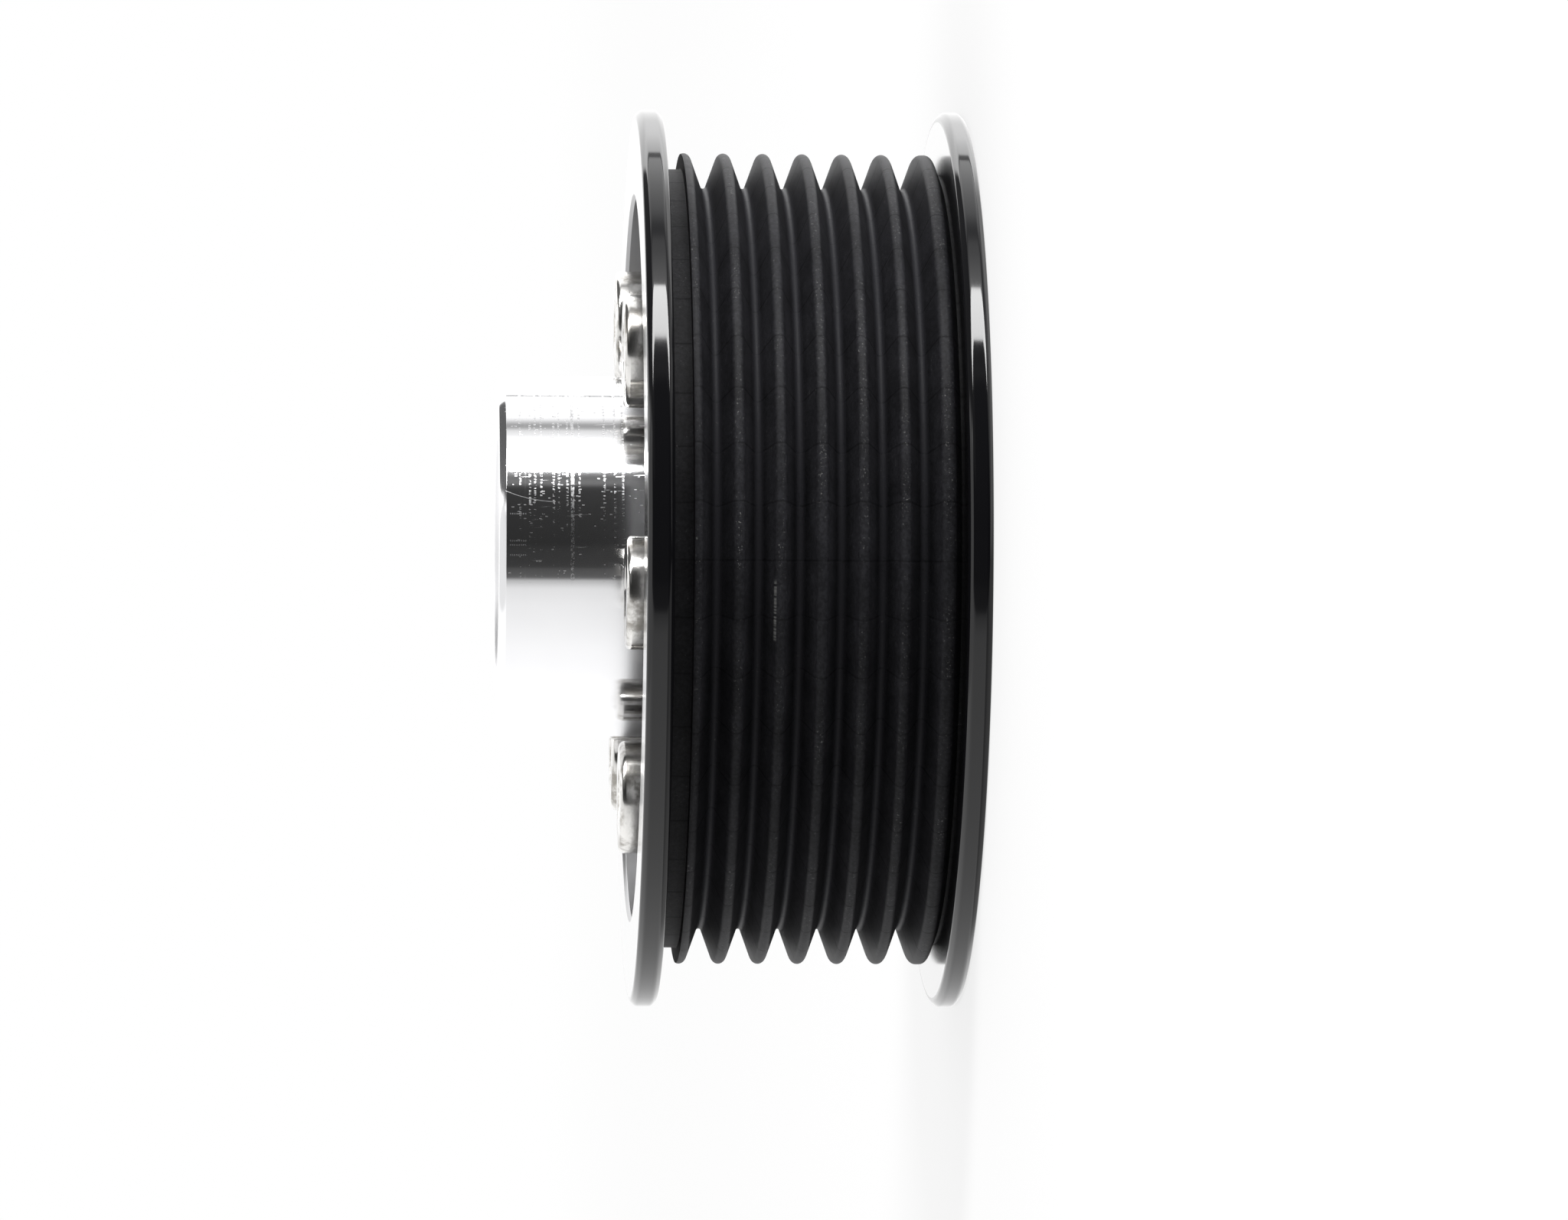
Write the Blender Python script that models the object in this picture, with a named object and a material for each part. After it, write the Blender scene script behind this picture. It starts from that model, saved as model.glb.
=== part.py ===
"""Ribbed belt pulley with a bolted ring, standing on its rear flange, axis along +Z.

The belt ring is one turned piece: two flanges, a row of V grooves between them, a shallow
recess in the front face, and a web that closes the ring over an open cup behind. The hub
is a second turned piece. Its long boss passes through the web and its round flange lies
against the web's back, where six low-head cap screws hold the two together.

Radii are built up from the shaft outward and heights from the rear flange's outer face
upward, so that each size can be changed by itself.
"""

import math

import bmesh
import bpy
from mathutils import Matrix, Vector

MM = 0.001

# Belt grooves
GROOVE_COUNT = 6
GROOVE_PITCH = 3.56 * MM
GROOVE_ANGLE = math.radians(40.0)
CREST_ROUND = 0.55 * MM
ROOT_ROUND = 0.35 * MM

# Ends of the belt bed: a relief behind the front flange, a narrow gap before the rear one
CREST_CUT = 0.25 * MM
RELIEF_WIDTH = 1.81 * MM
RELIEF_DEPTH = 1.45 * MM
REAR_GAP = 1.48 * MM
REAR_LAND = 0.29 * MM
REAR_GAP_FLOOR = 0.15 * MM

# Flanges
REAR_FLANGE_THICKNESS = 2.15 * MM
FRONT_FLANGE_THICKNESS = 2.35 * MM
FLANGE_HEIGHT = 3.85 * MM
FLANGE_CHAMFER = 0.5 * MM

# Ring body: recess in front, web, cup behind
RECESS_DEPTH = 3.0 * MM
RECESS_WALL = 2.55 * MM
WEB_THICKNESS = 6.0 * MM
RIM_WALL = 3.95 * MM
RECESS_CHAMFER = 0.3 * MM
RECESS_FILLET = 0.5 * MM
CUP_CHAMFER = 0.6 * MM
CUP_FILLET = 1.5 * MM
WEB_HOLE_CHAMFER = 0.4 * MM

# Hub: bored boss and bolting flange
BORE_RADIUS = 10.0 * MM
BORE_CHAMFER = 0.8 * MM
BOSS_WALL = 6.35 * MM
BOSS_REACH = 12.1 * MM
BOSS_CHAMFER = 0.6 * MM
HUB_FLANGE_THICKNESS = 6.5 * MM
HUB_FLANGE_CHAMFER = 0.5 * MM

# Cap screws
SCREW_COUNT = 6
FIRST_SCREW_ANGLE = math.radians(-7.5)
SHANK_RADIUS = 3.0 * MM
SHANK_CHAMFER = 0.6 * MM
THREAD_ENGAGEMENT = 5.4 * MM
HEAD_RADIUS = 5.0 * MM
HEAD_HEIGHT = 4.0 * MM
HEAD_CHAMFER = 0.45 * MM
SOCKET_FLATS = 4.0 * MM
SOCKET_DEPTH = 2.2 * MM
SOCKET_CHAMFER = 0.25 * MM
SOCKET_CONE = 0.8 * MM
SOCKET_TURN_STEP = math.radians(23.0)
COUNTERSINK = 0.5 * MM

# Clearances
SEAT_GAP = 0.3 * MM
SPIGOT_GAP = 0.3 * MM
CUP_GAP = 0.3 * MM
SHANK_GAP = 0.3 * MM
HEAD_TO_BOSS = 1.65 * MM
HUB_EDGE_MARGIN = 6.1 * MM
CUT_OVERRUN = 1.0 * MM

# Facets
TURN_STEPS = 56
SCREW_STEPS = 24
HOLE_STEPS = 20
CREST_STEPS = 4
ROOT_STEPS = 3
FILLET_STEPS = 2
MERGE_DISTANCE = 0.001 * MM
SHARP_ANGLE = math.radians(30.0)

# Radii that follow, from the shaft outward
BOSS_RADIUS = BORE_RADIUS + BOSS_WALL
WEB_HOLE_RADIUS = BOSS_RADIUS + SPIGOT_GAP
BOLT_CIRCLE = BOSS_RADIUS + HEAD_TO_BOSS + HEAD_RADIUS
HUB_FLANGE_RADIUS = BOLT_CIRCLE + HUB_EDGE_MARGIN
CUP_RADIUS = HUB_FLANGE_RADIUS + CUP_GAP
FLANK = GROOVE_ANGLE / 2.0
SHARP_DEPTH = GROOVE_PITCH / 2.0 / math.tan(FLANK)
GROOVE_DEPTH = SHARP_DEPTH - (CREST_ROUND + ROOT_ROUND) * (1.0 / math.sin(FLANK) - 1.0)
ROOT_RADIUS = CUP_RADIUS + RIM_WALL
CREST_RADIUS = ROOT_RADIUS + GROOVE_DEPTH
FLANGE_RADIUS = CREST_RADIUS + FLANGE_HEIGHT
RELIEF_RADIUS = CREST_RADIUS - RELIEF_DEPTH
RECESS_RADIUS = RELIEF_RADIUS - RECESS_WALL

# Heights that follow, from the rear flange's outer face upward
REAR_FLANGE_TOP = REAR_FLANGE_THICKNESS
LAST_CREST = REAR_FLANGE_TOP + REAR_GAP
FIRST_CREST = LAST_CREST + GROOVE_COUNT * GROOVE_PITCH
RELIEF_BOTTOM = FIRST_CREST + CREST_CUT
RELIEF_TOP = RELIEF_BOTTOM + RELIEF_WIDTH
RING_TOP = RELIEF_TOP + FRONT_FLANGE_THICKNESS
WEB_FRONT = RING_TOP - RECESS_DEPTH
WEB_BACK = WEB_FRONT - WEB_THICKNESS
HUB_FRONT = WEB_BACK - SEAT_GAP
HUB_BACK = HUB_FRONT - HUB_FLANGE_THICKNESS
BOSS_TOP = RING_TOP + BOSS_REACH
HEAD_SEAT = WEB_FRONT + SEAT_GAP
SHANK_LENGTH = WEB_THICKNESS + 2.0 * SEAT_GAP + THREAD_ENGAGEMENT
HOLE_RADIUS = SHANK_RADIUS + SHANK_GAP


def clear_scene():
    """Removes whatever the file opened with."""
    for item in list(bpy.data.objects):
        bpy.data.objects.remove(item, do_unlink=True)


def make_material(name, colour, roughness, metallic):
    """A plain Principled surface."""
    material = bpy.data.materials.new(name)
    material.use_nodes = True
    shader = material.node_tree.nodes["Principled BSDF"]
    shader.inputs["Base Color"].default_value = (*colour, 1.0)
    shader.inputs["Roughness"].default_value = roughness
    shader.inputs["Metallic"].default_value = metallic
    return material


def arc(centre, radius, start, end, steps):
    """Points of an arc in the half section. Angles run from +radius towards +height."""
    points = []
    for step in range(steps + 1):
        angle = start + (end - start) * step / steps
        points.append((centre[0] + radius * math.cos(angle), centre[1] + radius * math.sin(angle)))
    return points


def rib_outline():
    """The belt bed from the relief's wall down to the gap at the rear flange.

    Crests are convex arcs and roots concave ones, and the straight flanks between them
    lean at half the groove angle.
    """
    turn = math.pi / 2.0 - FLANK
    crest_centre = CREST_RADIUS - CREST_ROUND
    root_centre = ROOT_RADIUS + ROOT_ROUND
    cut_angle = math.asin(CREST_CUT / CREST_ROUND)
    points = arc((crest_centre, FIRST_CREST), CREST_ROUND, cut_angle, -turn, CREST_STEPS)
    for groove in range(GROOVE_COUNT):
        root_height = FIRST_CREST - (groove + 0.5) * GROOVE_PITCH
        crest_height = FIRST_CREST - (groove + 1) * GROOVE_PITCH
        root_start = math.pi - turn
        points += arc((root_centre, root_height), ROOT_ROUND, root_start, math.pi + turn, ROOT_STEPS)
        if groove < GROOVE_COUNT - 1:
            points += arc((crest_centre, crest_height), CREST_ROUND, turn, -turn, CREST_STEPS)
    last_land = LAST_CREST - REAR_LAND
    points += arc((crest_centre, LAST_CREST), CREST_ROUND, turn, 0.0, FILLET_STEPS)
    points += arc((crest_centre, last_land), CREST_ROUND, 0.0, -turn, FILLET_STEPS)
    flank_height = points[-1][1] - REAR_FLANGE_TOP - REAR_GAP_FLOOR
    floor_radius = points[-1][0] - flank_height / math.tan(FLANK)
    points.append((floor_radius, REAR_FLANGE_TOP + REAR_GAP_FLOOR))
    points.append((floor_radius, REAR_FLANGE_TOP))
    return points


def flange_outline(top, bottom):
    """Outer edge of a flange, top to bottom, with both corners chamfered."""
    return [
        (FLANGE_RADIUS - FLANGE_CHAMFER, top),
        (FLANGE_RADIUS, top - FLANGE_CHAMFER),
        (FLANGE_RADIUS, bottom + FLANGE_CHAMFER),
        (FLANGE_RADIUS - FLANGE_CHAMFER, bottom),
    ]


def ring_outline():
    """Half section of the ring: down the outer side, then back up the inner side."""
    outer = flange_outline(RING_TOP, RELIEF_TOP)
    outer += [(RELIEF_RADIUS, RELIEF_TOP), (RELIEF_RADIUS, RELIEF_BOTTOM)]
    outer += rib_outline()
    outer += flange_outline(REAR_FLANGE_TOP, 0.0)
    cup_corner = (CUP_RADIUS - CUP_FILLET, WEB_BACK - CUP_FILLET)
    cup = [(CUP_RADIUS + CUP_CHAMFER, 0.0), (CUP_RADIUS, CUP_CHAMFER)]
    cup += arc(cup_corner, CUP_FILLET, 0.0, math.pi / 2.0, FILLET_STEPS)
    web_hole = [
        (WEB_HOLE_RADIUS + WEB_HOLE_CHAMFER, WEB_BACK),
        (WEB_HOLE_RADIUS, WEB_BACK + WEB_HOLE_CHAMFER),
        (WEB_HOLE_RADIUS, WEB_FRONT - WEB_HOLE_CHAMFER),
        (WEB_HOLE_RADIUS + WEB_HOLE_CHAMFER, WEB_FRONT),
    ]
    recess_corner = (RECESS_RADIUS - RECESS_FILLET, WEB_FRONT + RECESS_FILLET)
    recess = arc(recess_corner, RECESS_FILLET, -math.pi / 2.0, 0.0, FILLET_STEPS)
    recess += [(RECESS_RADIUS, RING_TOP - RECESS_CHAMFER), (RECESS_RADIUS + RECESS_CHAMFER, RING_TOP)]
    return outer + cup + web_hole + recess


def hub_outline():
    """Half section of the hub: down the boss and flange, then back up the bore."""
    return [
        (BOSS_RADIUS - BOSS_CHAMFER, BOSS_TOP),
        (BOSS_RADIUS, BOSS_TOP - BOSS_CHAMFER),
        (BOSS_RADIUS, HUB_FRONT),
        (HUB_FLANGE_RADIUS - CUP_FILLET, HUB_FRONT),
        (HUB_FLANGE_RADIUS, HUB_FRONT - CUP_FILLET),
        (HUB_FLANGE_RADIUS, HUB_BACK + HUB_FLANGE_CHAMFER),
        (HUB_FLANGE_RADIUS - HUB_FLANGE_CHAMFER, HUB_BACK),
        (BORE_RADIUS + BORE_CHAMFER, HUB_BACK),
        (BORE_RADIUS, HUB_BACK + BORE_CHAMFER),
        (BORE_RADIUS, BOSS_TOP - BORE_CHAMFER),
        (BORE_RADIUS + BORE_CHAMFER, BOSS_TOP),
    ]


def turn_outline(bm, outline):
    """Spins a closed half section once round the Z axis."""
    verts = [bm.verts.new((radius, 0.0, height)) for radius, height in outline]
    edges = [bm.edges.new((verts[i - 1], verts[i])) for i in range(len(verts))]
    bmesh.ops.spin(
        bm,
        geom=verts + edges,
        cent=(0.0, 0.0, 0.0),
        axis=(0.0, 0.0, 1.0),
        angle=2.0 * math.pi,
        steps=TURN_STEPS,
    )
    bmesh.ops.remove_doubles(bm, verts=bm.verts, dist=MERGE_DISTANCE)


def round_ring(radius, height, steps):
    """A circle of points at one height."""
    angles = [2.0 * math.pi * step / steps for step in range(steps)]
    return [Vector((radius * math.cos(a), radius * math.sin(a), height)) for a in angles]


def hexagon_ring(flats, height, steps):
    """A hexagon with the given width across flats, with as many points as a circle."""
    points = []
    for step in range(steps):
        angle = 2.0 * math.pi * step / steps
        from_flat = (angle + math.pi / 6.0) % (math.pi / 3.0) - math.pi / 6.0
        reach = flats / 2.0 / math.cos(from_flat)
        points.append(Vector((reach * math.cos(angle), reach * math.sin(angle), height)))
    return points


def loft(bm, rings, tip=None):
    """Skins a stack of rings. The first is capped, the last is capped or drawn to a tip."""
    loops = [[bm.verts.new(point) for point in ring] for ring in rings]
    steps = len(loops[0])
    for lower, upper in zip(loops, loops[1:]):
        for i in range(steps):
            bm.faces.new((lower[i - 1], lower[i], upper[i], upper[i - 1]))
    bm.faces.new(reversed(loops[0]))
    if tip is None:
        bm.faces.new(loops[-1])
        return
    apex = bm.verts.new(tip)
    for i in range(steps):
        bm.faces.new((loops[-1][i - 1], loops[-1][i], apex))


def finish_mesh(name, bm):
    """Turns the faces outward and hands the mesh over."""
    bmesh.ops.recalc_face_normals(bm, faces=bm.faces)
    mesh = bpy.data.meshes.new(name)
    bm.to_mesh(mesh)
    bm.free()
    return mesh


def add_object(name, mesh, material, parent):
    """Puts a mesh in the scene under the pulley's axis, shaded smooth with sharp corners."""
    mesh.shade_smooth()
    mesh.set_sharp_from_angle(angle=SHARP_ANGLE)
    mesh.materials.clear()
    mesh.materials.append(material)
    item = bpy.data.objects.new(name, mesh)
    item.parent = parent
    bpy.context.scene.collection.objects.link(item)
    return item


def screw_place(index):
    """Angle and centre of a screw on the bolt circle."""
    angle = FIRST_SCREW_ANGLE + 2.0 * math.pi * index / SCREW_COUNT
    return angle, Vector((BOLT_CIRCLE * math.sin(angle), -BOLT_CIRCLE * math.cos(angle), 0.0))


def drilled(mesh, stations):
    """Cuts one round column at each screw's place. Stations are pairs of radius and height."""
    bm = bmesh.new()
    for index in range(SCREW_COUNT):
        centre = screw_place(index)[1]
        rings = [round_ring(radius, height, HOLE_STEPS) for radius, height in stations]
        loft(bm, [[point + centre for point in ring] for ring in rings])
    cutter = bpy.data.objects.new("drill", finish_mesh("drill", bm))
    cutter.hide_render = True
    cutter.display_type = "WIRE"
    body = bpy.data.objects.new("blank", mesh)
    for item in (cutter, body):
        bpy.context.scene.collection.objects.link(item)
    cut = body.modifiers.new("holes", "BOOLEAN")
    cut.operation = "DIFFERENCE"
    cut.solver = "EXACT"
    cut.object = cutter
    graph = bpy.context.evaluated_depsgraph_get()
    result = bpy.data.meshes.new_from_object(body.evaluated_get(graph))
    for item in (cutter, body):
        bpy.data.objects.remove(item, do_unlink=True)
    return result


def build_ring(parent):
    """The belt ring with its six clearance holes."""
    bm = bmesh.new()
    turn_outline(bm, ring_outline())
    blank = finish_mesh("pulley_ring_blank", bm)
    holes = [(HOLE_RADIUS, WEB_BACK - CUT_OVERRUN), (HOLE_RADIUS, WEB_FRONT + CUT_OVERRUN)]
    black = make_material("black_anodised", (0.012, 0.012, 0.013), 0.38, 0.85)
    return add_object("pulley_ring", drilled(blank, holes), black, parent)


def build_hub(parent):
    """The hub with its six tapped holes, countersunk at both ends."""
    bm = bmesh.new()
    turn_outline(bm, hub_outline())
    blank = finish_mesh("hub_blank", bm)
    flare = COUNTERSINK + CUT_OVERRUN
    holes = [
        (HOLE_RADIUS + flare, HUB_BACK - CUT_OVERRUN),
        (HOLE_RADIUS, HUB_BACK + COUNTERSINK),
        (HOLE_RADIUS, HUB_FRONT - COUNTERSINK),
        (HOLE_RADIUS + flare, HUB_FRONT + CUT_OVERRUN),
    ]
    bright = make_material("turned_aluminium", (0.80, 0.80, 0.81), 0.25, 1.0)
    return add_object("hub", drilled(blank, holes), bright, parent)


def screw_mesh():
    """A low-head cap screw with a hexagon socket, its head seated at height zero."""
    socket_floor = HEAD_HEIGHT - SOCKET_DEPTH
    mouth = SOCKET_FLATS + 2.0 * SOCKET_CHAMFER
    rings = [
        round_ring(SHANK_RADIUS - SHANK_CHAMFER, -SHANK_LENGTH, SCREW_STEPS),
        round_ring(SHANK_RADIUS, SHANK_CHAMFER - SHANK_LENGTH, SCREW_STEPS),
        round_ring(SHANK_RADIUS, 0.0, SCREW_STEPS),
        round_ring(HEAD_RADIUS, 0.0, SCREW_STEPS),
        round_ring(HEAD_RADIUS, HEAD_HEIGHT - HEAD_CHAMFER, SCREW_STEPS),
        round_ring(HEAD_RADIUS - HEAD_CHAMFER, HEAD_HEIGHT, SCREW_STEPS),
        hexagon_ring(mouth, HEAD_HEIGHT, SCREW_STEPS),
        hexagon_ring(SOCKET_FLATS, HEAD_HEIGHT - SOCKET_CHAMFER, SCREW_STEPS),
        hexagon_ring(SOCKET_FLATS, socket_floor, SCREW_STEPS),
    ]
    bm = bmesh.new()
    loft(bm, rings, tip=Vector((0.0, 0.0, socket_floor - SOCKET_CONE)))
    return finish_mesh("cap_screw", bm)


def build_screws(parent):
    """Six screws on the bolt circle that share one mesh, each socket turned its own way."""
    mesh = screw_mesh()
    silver = make_material("plated_steel", (0.62, 0.61, 0.58), 0.28, 1.0)
    for index in range(SCREW_COUNT):
        angle, centre = screw_place(index)
        screw = add_object(f"cap_screw_{index + 1}", mesh, silver, parent)
        turn = Matrix.Rotation(angle + SOCKET_TURN_STEP * index, 4, "Z")
        screw.matrix_local = Matrix.Translation(centre + Vector((0.0, 0.0, HEAD_SEAT))) @ turn


def main():
    """Builds the pulley under one empty on its axis."""
    clear_scene()
    axis = bpy.data.objects.new("pulley_axis", None)
    bpy.context.scene.collection.objects.link(axis)
    build_ring(axis)
    build_hub(axis)
    build_screws(axis)
    bpy.context.view_layer.update()


main()
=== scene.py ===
"""Ribbed belt pulley with a bolted ring: its surfaces, a white studio and the camera.

The pulley stands on its rear flange with its axis along +Z. Three kinds of piece dress the
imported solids: the belt ring, the hub and the six cap screws. Lengths in the dataclasses are
in millimetres, apart from the studio's, which are in metres. Meshes are in metres too, in
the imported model's own frame.
"""

import logging
import math
from dataclasses import dataclass
from enum import Enum
from functools import reduce

import bmesh
import bpy
from mathutils import Matrix, Vector


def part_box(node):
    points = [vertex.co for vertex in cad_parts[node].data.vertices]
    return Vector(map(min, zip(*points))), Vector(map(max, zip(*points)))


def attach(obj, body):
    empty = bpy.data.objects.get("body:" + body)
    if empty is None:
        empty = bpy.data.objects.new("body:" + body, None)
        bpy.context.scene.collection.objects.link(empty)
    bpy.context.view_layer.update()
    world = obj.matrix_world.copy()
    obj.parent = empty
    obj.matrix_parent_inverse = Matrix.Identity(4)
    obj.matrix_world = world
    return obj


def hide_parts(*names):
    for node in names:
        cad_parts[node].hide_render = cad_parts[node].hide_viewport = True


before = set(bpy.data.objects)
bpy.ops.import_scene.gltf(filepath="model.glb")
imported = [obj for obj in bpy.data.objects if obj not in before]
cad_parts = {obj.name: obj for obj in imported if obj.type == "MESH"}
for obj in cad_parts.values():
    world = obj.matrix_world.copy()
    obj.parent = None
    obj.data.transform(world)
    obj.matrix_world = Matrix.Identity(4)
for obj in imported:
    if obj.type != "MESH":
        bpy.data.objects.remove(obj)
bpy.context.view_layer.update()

MM = 0.001
LOG = logging.getLogger("belt_pulley")

Socket = bpy.types.NodeSocket
Point = tuple[float, float]
Span = tuple[float, float]
Rounding = tuple[float, int]
Colour = tuple[float, float, float]
BLACK = (0.0, 0.0, 0.0, 1.0)
WHITE = (1.0, 1.0, 1.0, 1.0)
FULL_TURN = 2.0 * math.pi


class Surface(Enum):
    """Finishes that one turned piece can carry, by material slot."""

    RIM = 0
    GROOVE = 1
    FACE = 2
    # RELIEF takes a darker finish: painted shade on the sunken surfaces
    RELIEF = 3
    WALL = 4


class Coat(Enum):
    """How a finish answers light: bare metal, or a dyed layer over it."""

    METAL = 1.0
    DYED = 0.0


def box_mm(node: str) -> tuple[Vector, Vector]:
    """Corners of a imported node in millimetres.

    Args:
        node: Name of the node.

    Returns:
        Its lowest and highest corners.
    """
    low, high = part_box(node)
    return Vector(low) / MM, Vector(high) / MM


def opaque(colour: Colour) -> tuple[float, float, float, float]:
    """A colour with its alpha."""
    return (*colour, 1.0)


def link(name: str, data: bpy.types.ID) -> bpy.types.Object:
    """Makes an object and puts it in the scene.

    Args:
        name: Name of the object.
        data: Its mesh, lamp or camera data.

    Returns:
        The object.
    """
    item = bpy.data.objects.new(name, data)
    bpy.context.scene.collection.objects.link(item)
    return item


class Graph:
    """A node tree under construction, with short calls for the nodes used here."""

    def __init__(self, tree: bpy.types.NodeTree) -> None:
        """Keeps the tree.

        Args:
            tree: The tree that new nodes go into.
        """
        self.tree = tree

    def add(self, kind: str, **settings: object) -> bpy.types.Node:
        """Adds a node.

        Args:
            kind: Blender's type name for the node.
            **settings: Attributes to set on it.

        Returns:
            The new node.
        """
        node = self.tree.nodes.new(kind)
        for name, value in settings.items():
            setattr(node, name, value)
        return node

    def feed(self, target: Socket, value: Socket | float | tuple) -> None:
        """Links a socket to an input, or writes a constant into it.

        Args:
            target: The input.
            value: A source socket or a constant.
        """
        if isinstance(value, bpy.types.NodeSocket):
            self.tree.links.new(value, target)
        else:
            target.default_value = value

    def math(self, operation: str, *values: Socket | float, clamp: bool = False) -> Socket:
        """Adds a maths node.

        Args:
            operation: Blender's name for the operation.
            *values: Its inputs in order.
            clamp: Whether the result stays between 0 and 1.

        Returns:
            The result.
        """
        node = self.add("ShaderNodeMath", operation=operation, use_clamp=clamp)
        for target, value in zip(node.inputs, values):
            self.feed(target, value)
        return node.outputs[0]

    def fold(self, operation: str, values: tuple[Socket | float, ...]) -> Socket:
        """Chains an operation of two inputs, from left to right."""
        return reduce(lambda done, value: self.math(operation, done, value), values)

    def times(self, *values: Socket | float) -> Socket:
        """The product of some values."""
        return self.fold("MULTIPLY", values)

    def plus(self, *values: Socket | float) -> Socket:
        """The sum of some values."""
        return self.fold("ADD", values)

    def highest(self, *values: Socket | float) -> Socket:
        """The highest of some values."""
        return self.fold("MAXIMUM", values)

    def minus(self, value: Socket | float, other: Socket | float) -> Socket:
        """A value less another one."""
        return self.math("SUBTRACT", value, other)

    def over(self, value: Socket | float, other: Socket | float) -> Socket:
        """A value divided by another one."""
        return self.math("DIVIDE", value, other)

    def apart(self, value: Socket | float, other: Socket | float) -> Socket:
        """How far two values lie apart."""
        return self.math("ABSOLUTE", self.minus(value, other))

    def spread(self, value: Socket, low: float, high: float, to: Span = (0.0, 1.0)) -> Socket:
        """Maps a range smoothly onto another one.

        Args:
            value: The value to map.
            low: Where the range starts.
            high: Where it ends.
            to: The results at the start and the end.

        Returns:
            The mapped value.
        """
        node = self.add("ShaderNodeMapRange", interpolation_type="SMOOTHSTEP")
        for name, item in (("From Min", low), ("From Max", high), ("To Min", to[0]), ("To Max", to[1])):
            self.feed(node.inputs[name], item)
        self.feed(node.inputs["Value"], value)
        return node.outputs[0]

    def fade(self, value: Socket, low: float, high: float) -> Socket:
        """A mask that is 1 below a range and 0 above it."""
        return self.spread(value, low, high, (1.0, 0.0))

    def band(self, value: Socket, middle: float, half: float, soft: float = 0.03) -> Socket:
        """Cuts a narrow band out of a value.

        Args:
            value: The value.
            middle: The band's middle.
            half: Half its width.
            soft: Width of its soft edge.

        Returns:
            The mask of the band.
        """
        return self.fade(self.apart(value, middle), half, half + soft)

    def vector(self, x: Socket | float, y: Socket | float, z: Socket | float) -> Socket:
        """Joins three values to a vector.

        Args:
            x: First value.
            y: Second value.
            z: Third value.

        Returns:
            The vector.
        """
        node = self.add("ShaderNodeCombineXYZ")
        for target, value in zip(node.inputs, (x, y, z)):
            self.feed(target, value)
        return node.outputs[0]

    def noise(self, place: Socket, scale: float = 1.0, detail: float = 2.0, rough: float = 0.5) -> Socket:
        """Adds a noise texture.

        Args:
            place: The vector that it is read at.
            scale: Waves to a unit of that vector.
            detail: Octaves.
            rough: Share of the finer octaves.

        Returns:
            The noise, about 0.5 on average.
        """
        node = self.add("ShaderNodeTexNoise")
        for name, item in (("Vector", place), ("Scale", scale), ("Detail", detail), ("Roughness", rough)):
            self.feed(node.inputs[name], item)
        return node.outputs["Fac"]

    def blend(self, share: Socket | float, first: Socket | float, second: Socket | float) -> Socket:
        """Mixes two values.

        Args:
            share: Share of the second value.
            first: Value at share 0.
            second: Value at share 1.

        Returns:
            The mixed value.
        """
        return self.mix("FLOAT", "VALUE", share, first, second)

    def tint(self, share: Socket, first: Socket | tuple, second: Socket | tuple) -> Socket:
        """Mixes two colours.

        Args:
            share: Share of the second colour.
            first: Colour at share 0.
            second: Colour at share 1.

        Returns:
            The mixed colour.
        """
        return self.mix("RGBA", "RGBA", share, first, second)

    def mix(self, kind: str, socket: str, share: Socket | float, first: object, second: object) -> Socket:
        """Adds a mix node of one data type.

        Args:
            kind: Its data type.
            socket: The socket type that goes with it.
            share: Share of the second input.
            first: Input at share 0.
            second: Input at share 1.

        Returns:
            The mixed result.
        """
        node = self.add("ShaderNodeMix", data_type=kind)
        self.feed(node.inputs[0], share)
        for name, value in (("A", first), ("B", second)):
            self.feed(next(i for i in node.inputs if i.name == name and i.type == socket), value)
        return next(i for i in node.outputs if i.type == socket)


class Effect:
    """A shader node group that several materials share."""

    name = "effect"
    inputs: tuple[tuple[str, str, float], ...] = ()
    outputs: tuple[str, ...] = ()

    def wire(self, graph: Graph, source: bpy.types.Node) -> tuple[Socket, ...]:
        """Builds the inside of the group.

        Args:
            graph: The group's tree.
            source: The group's input node.

        Returns:
            One socket for each output, in order.
        """
        raise NotImplementedError

    def group(self) -> bpy.types.NodeTree:
        """Finds the group, or builds it the first time.

        Returns:
            The node tree.
        """
        tree = bpy.data.node_groups.get(self.name)
        if tree is not None:
            return tree
        tree = bpy.data.node_groups.new(self.name, "ShaderNodeTree")
        for name, kind, value in self.inputs:
            socket = tree.interface.new_socket(name=name, in_out="INPUT", socket_type=kind)
            if kind == "NodeSocketFloat":
                socket.default_value = value
        for name in self.outputs:
            tree.interface.new_socket(name=name, in_out="OUTPUT", socket_type="NodeSocketFloat")
        graph = Graph(tree)
        source = graph.add("NodeGroupInput")
        target = graph.add("NodeGroupOutput")
        for name, value in zip(self.outputs, self.wire(graph, source)):
            graph.feed(target.inputs[name], value)
        return tree

    def place(self, graph: Graph, **values: Socket | float) -> dict[str, Socket]:
        """Puts the group into a material.

        Args:
            graph: The material's tree.
            **values: Inputs by name, with underscores for spaces.

        Returns:
            The outputs by name.
        """
        node = graph.add("ShaderNodeGroup")
        node.node_tree = self.group()
        for name, value in values.items():
            graph.feed(node.inputs[name.replace("_", " ")], value)
        return {name: node.outputs[name] for name in self.outputs}


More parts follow.
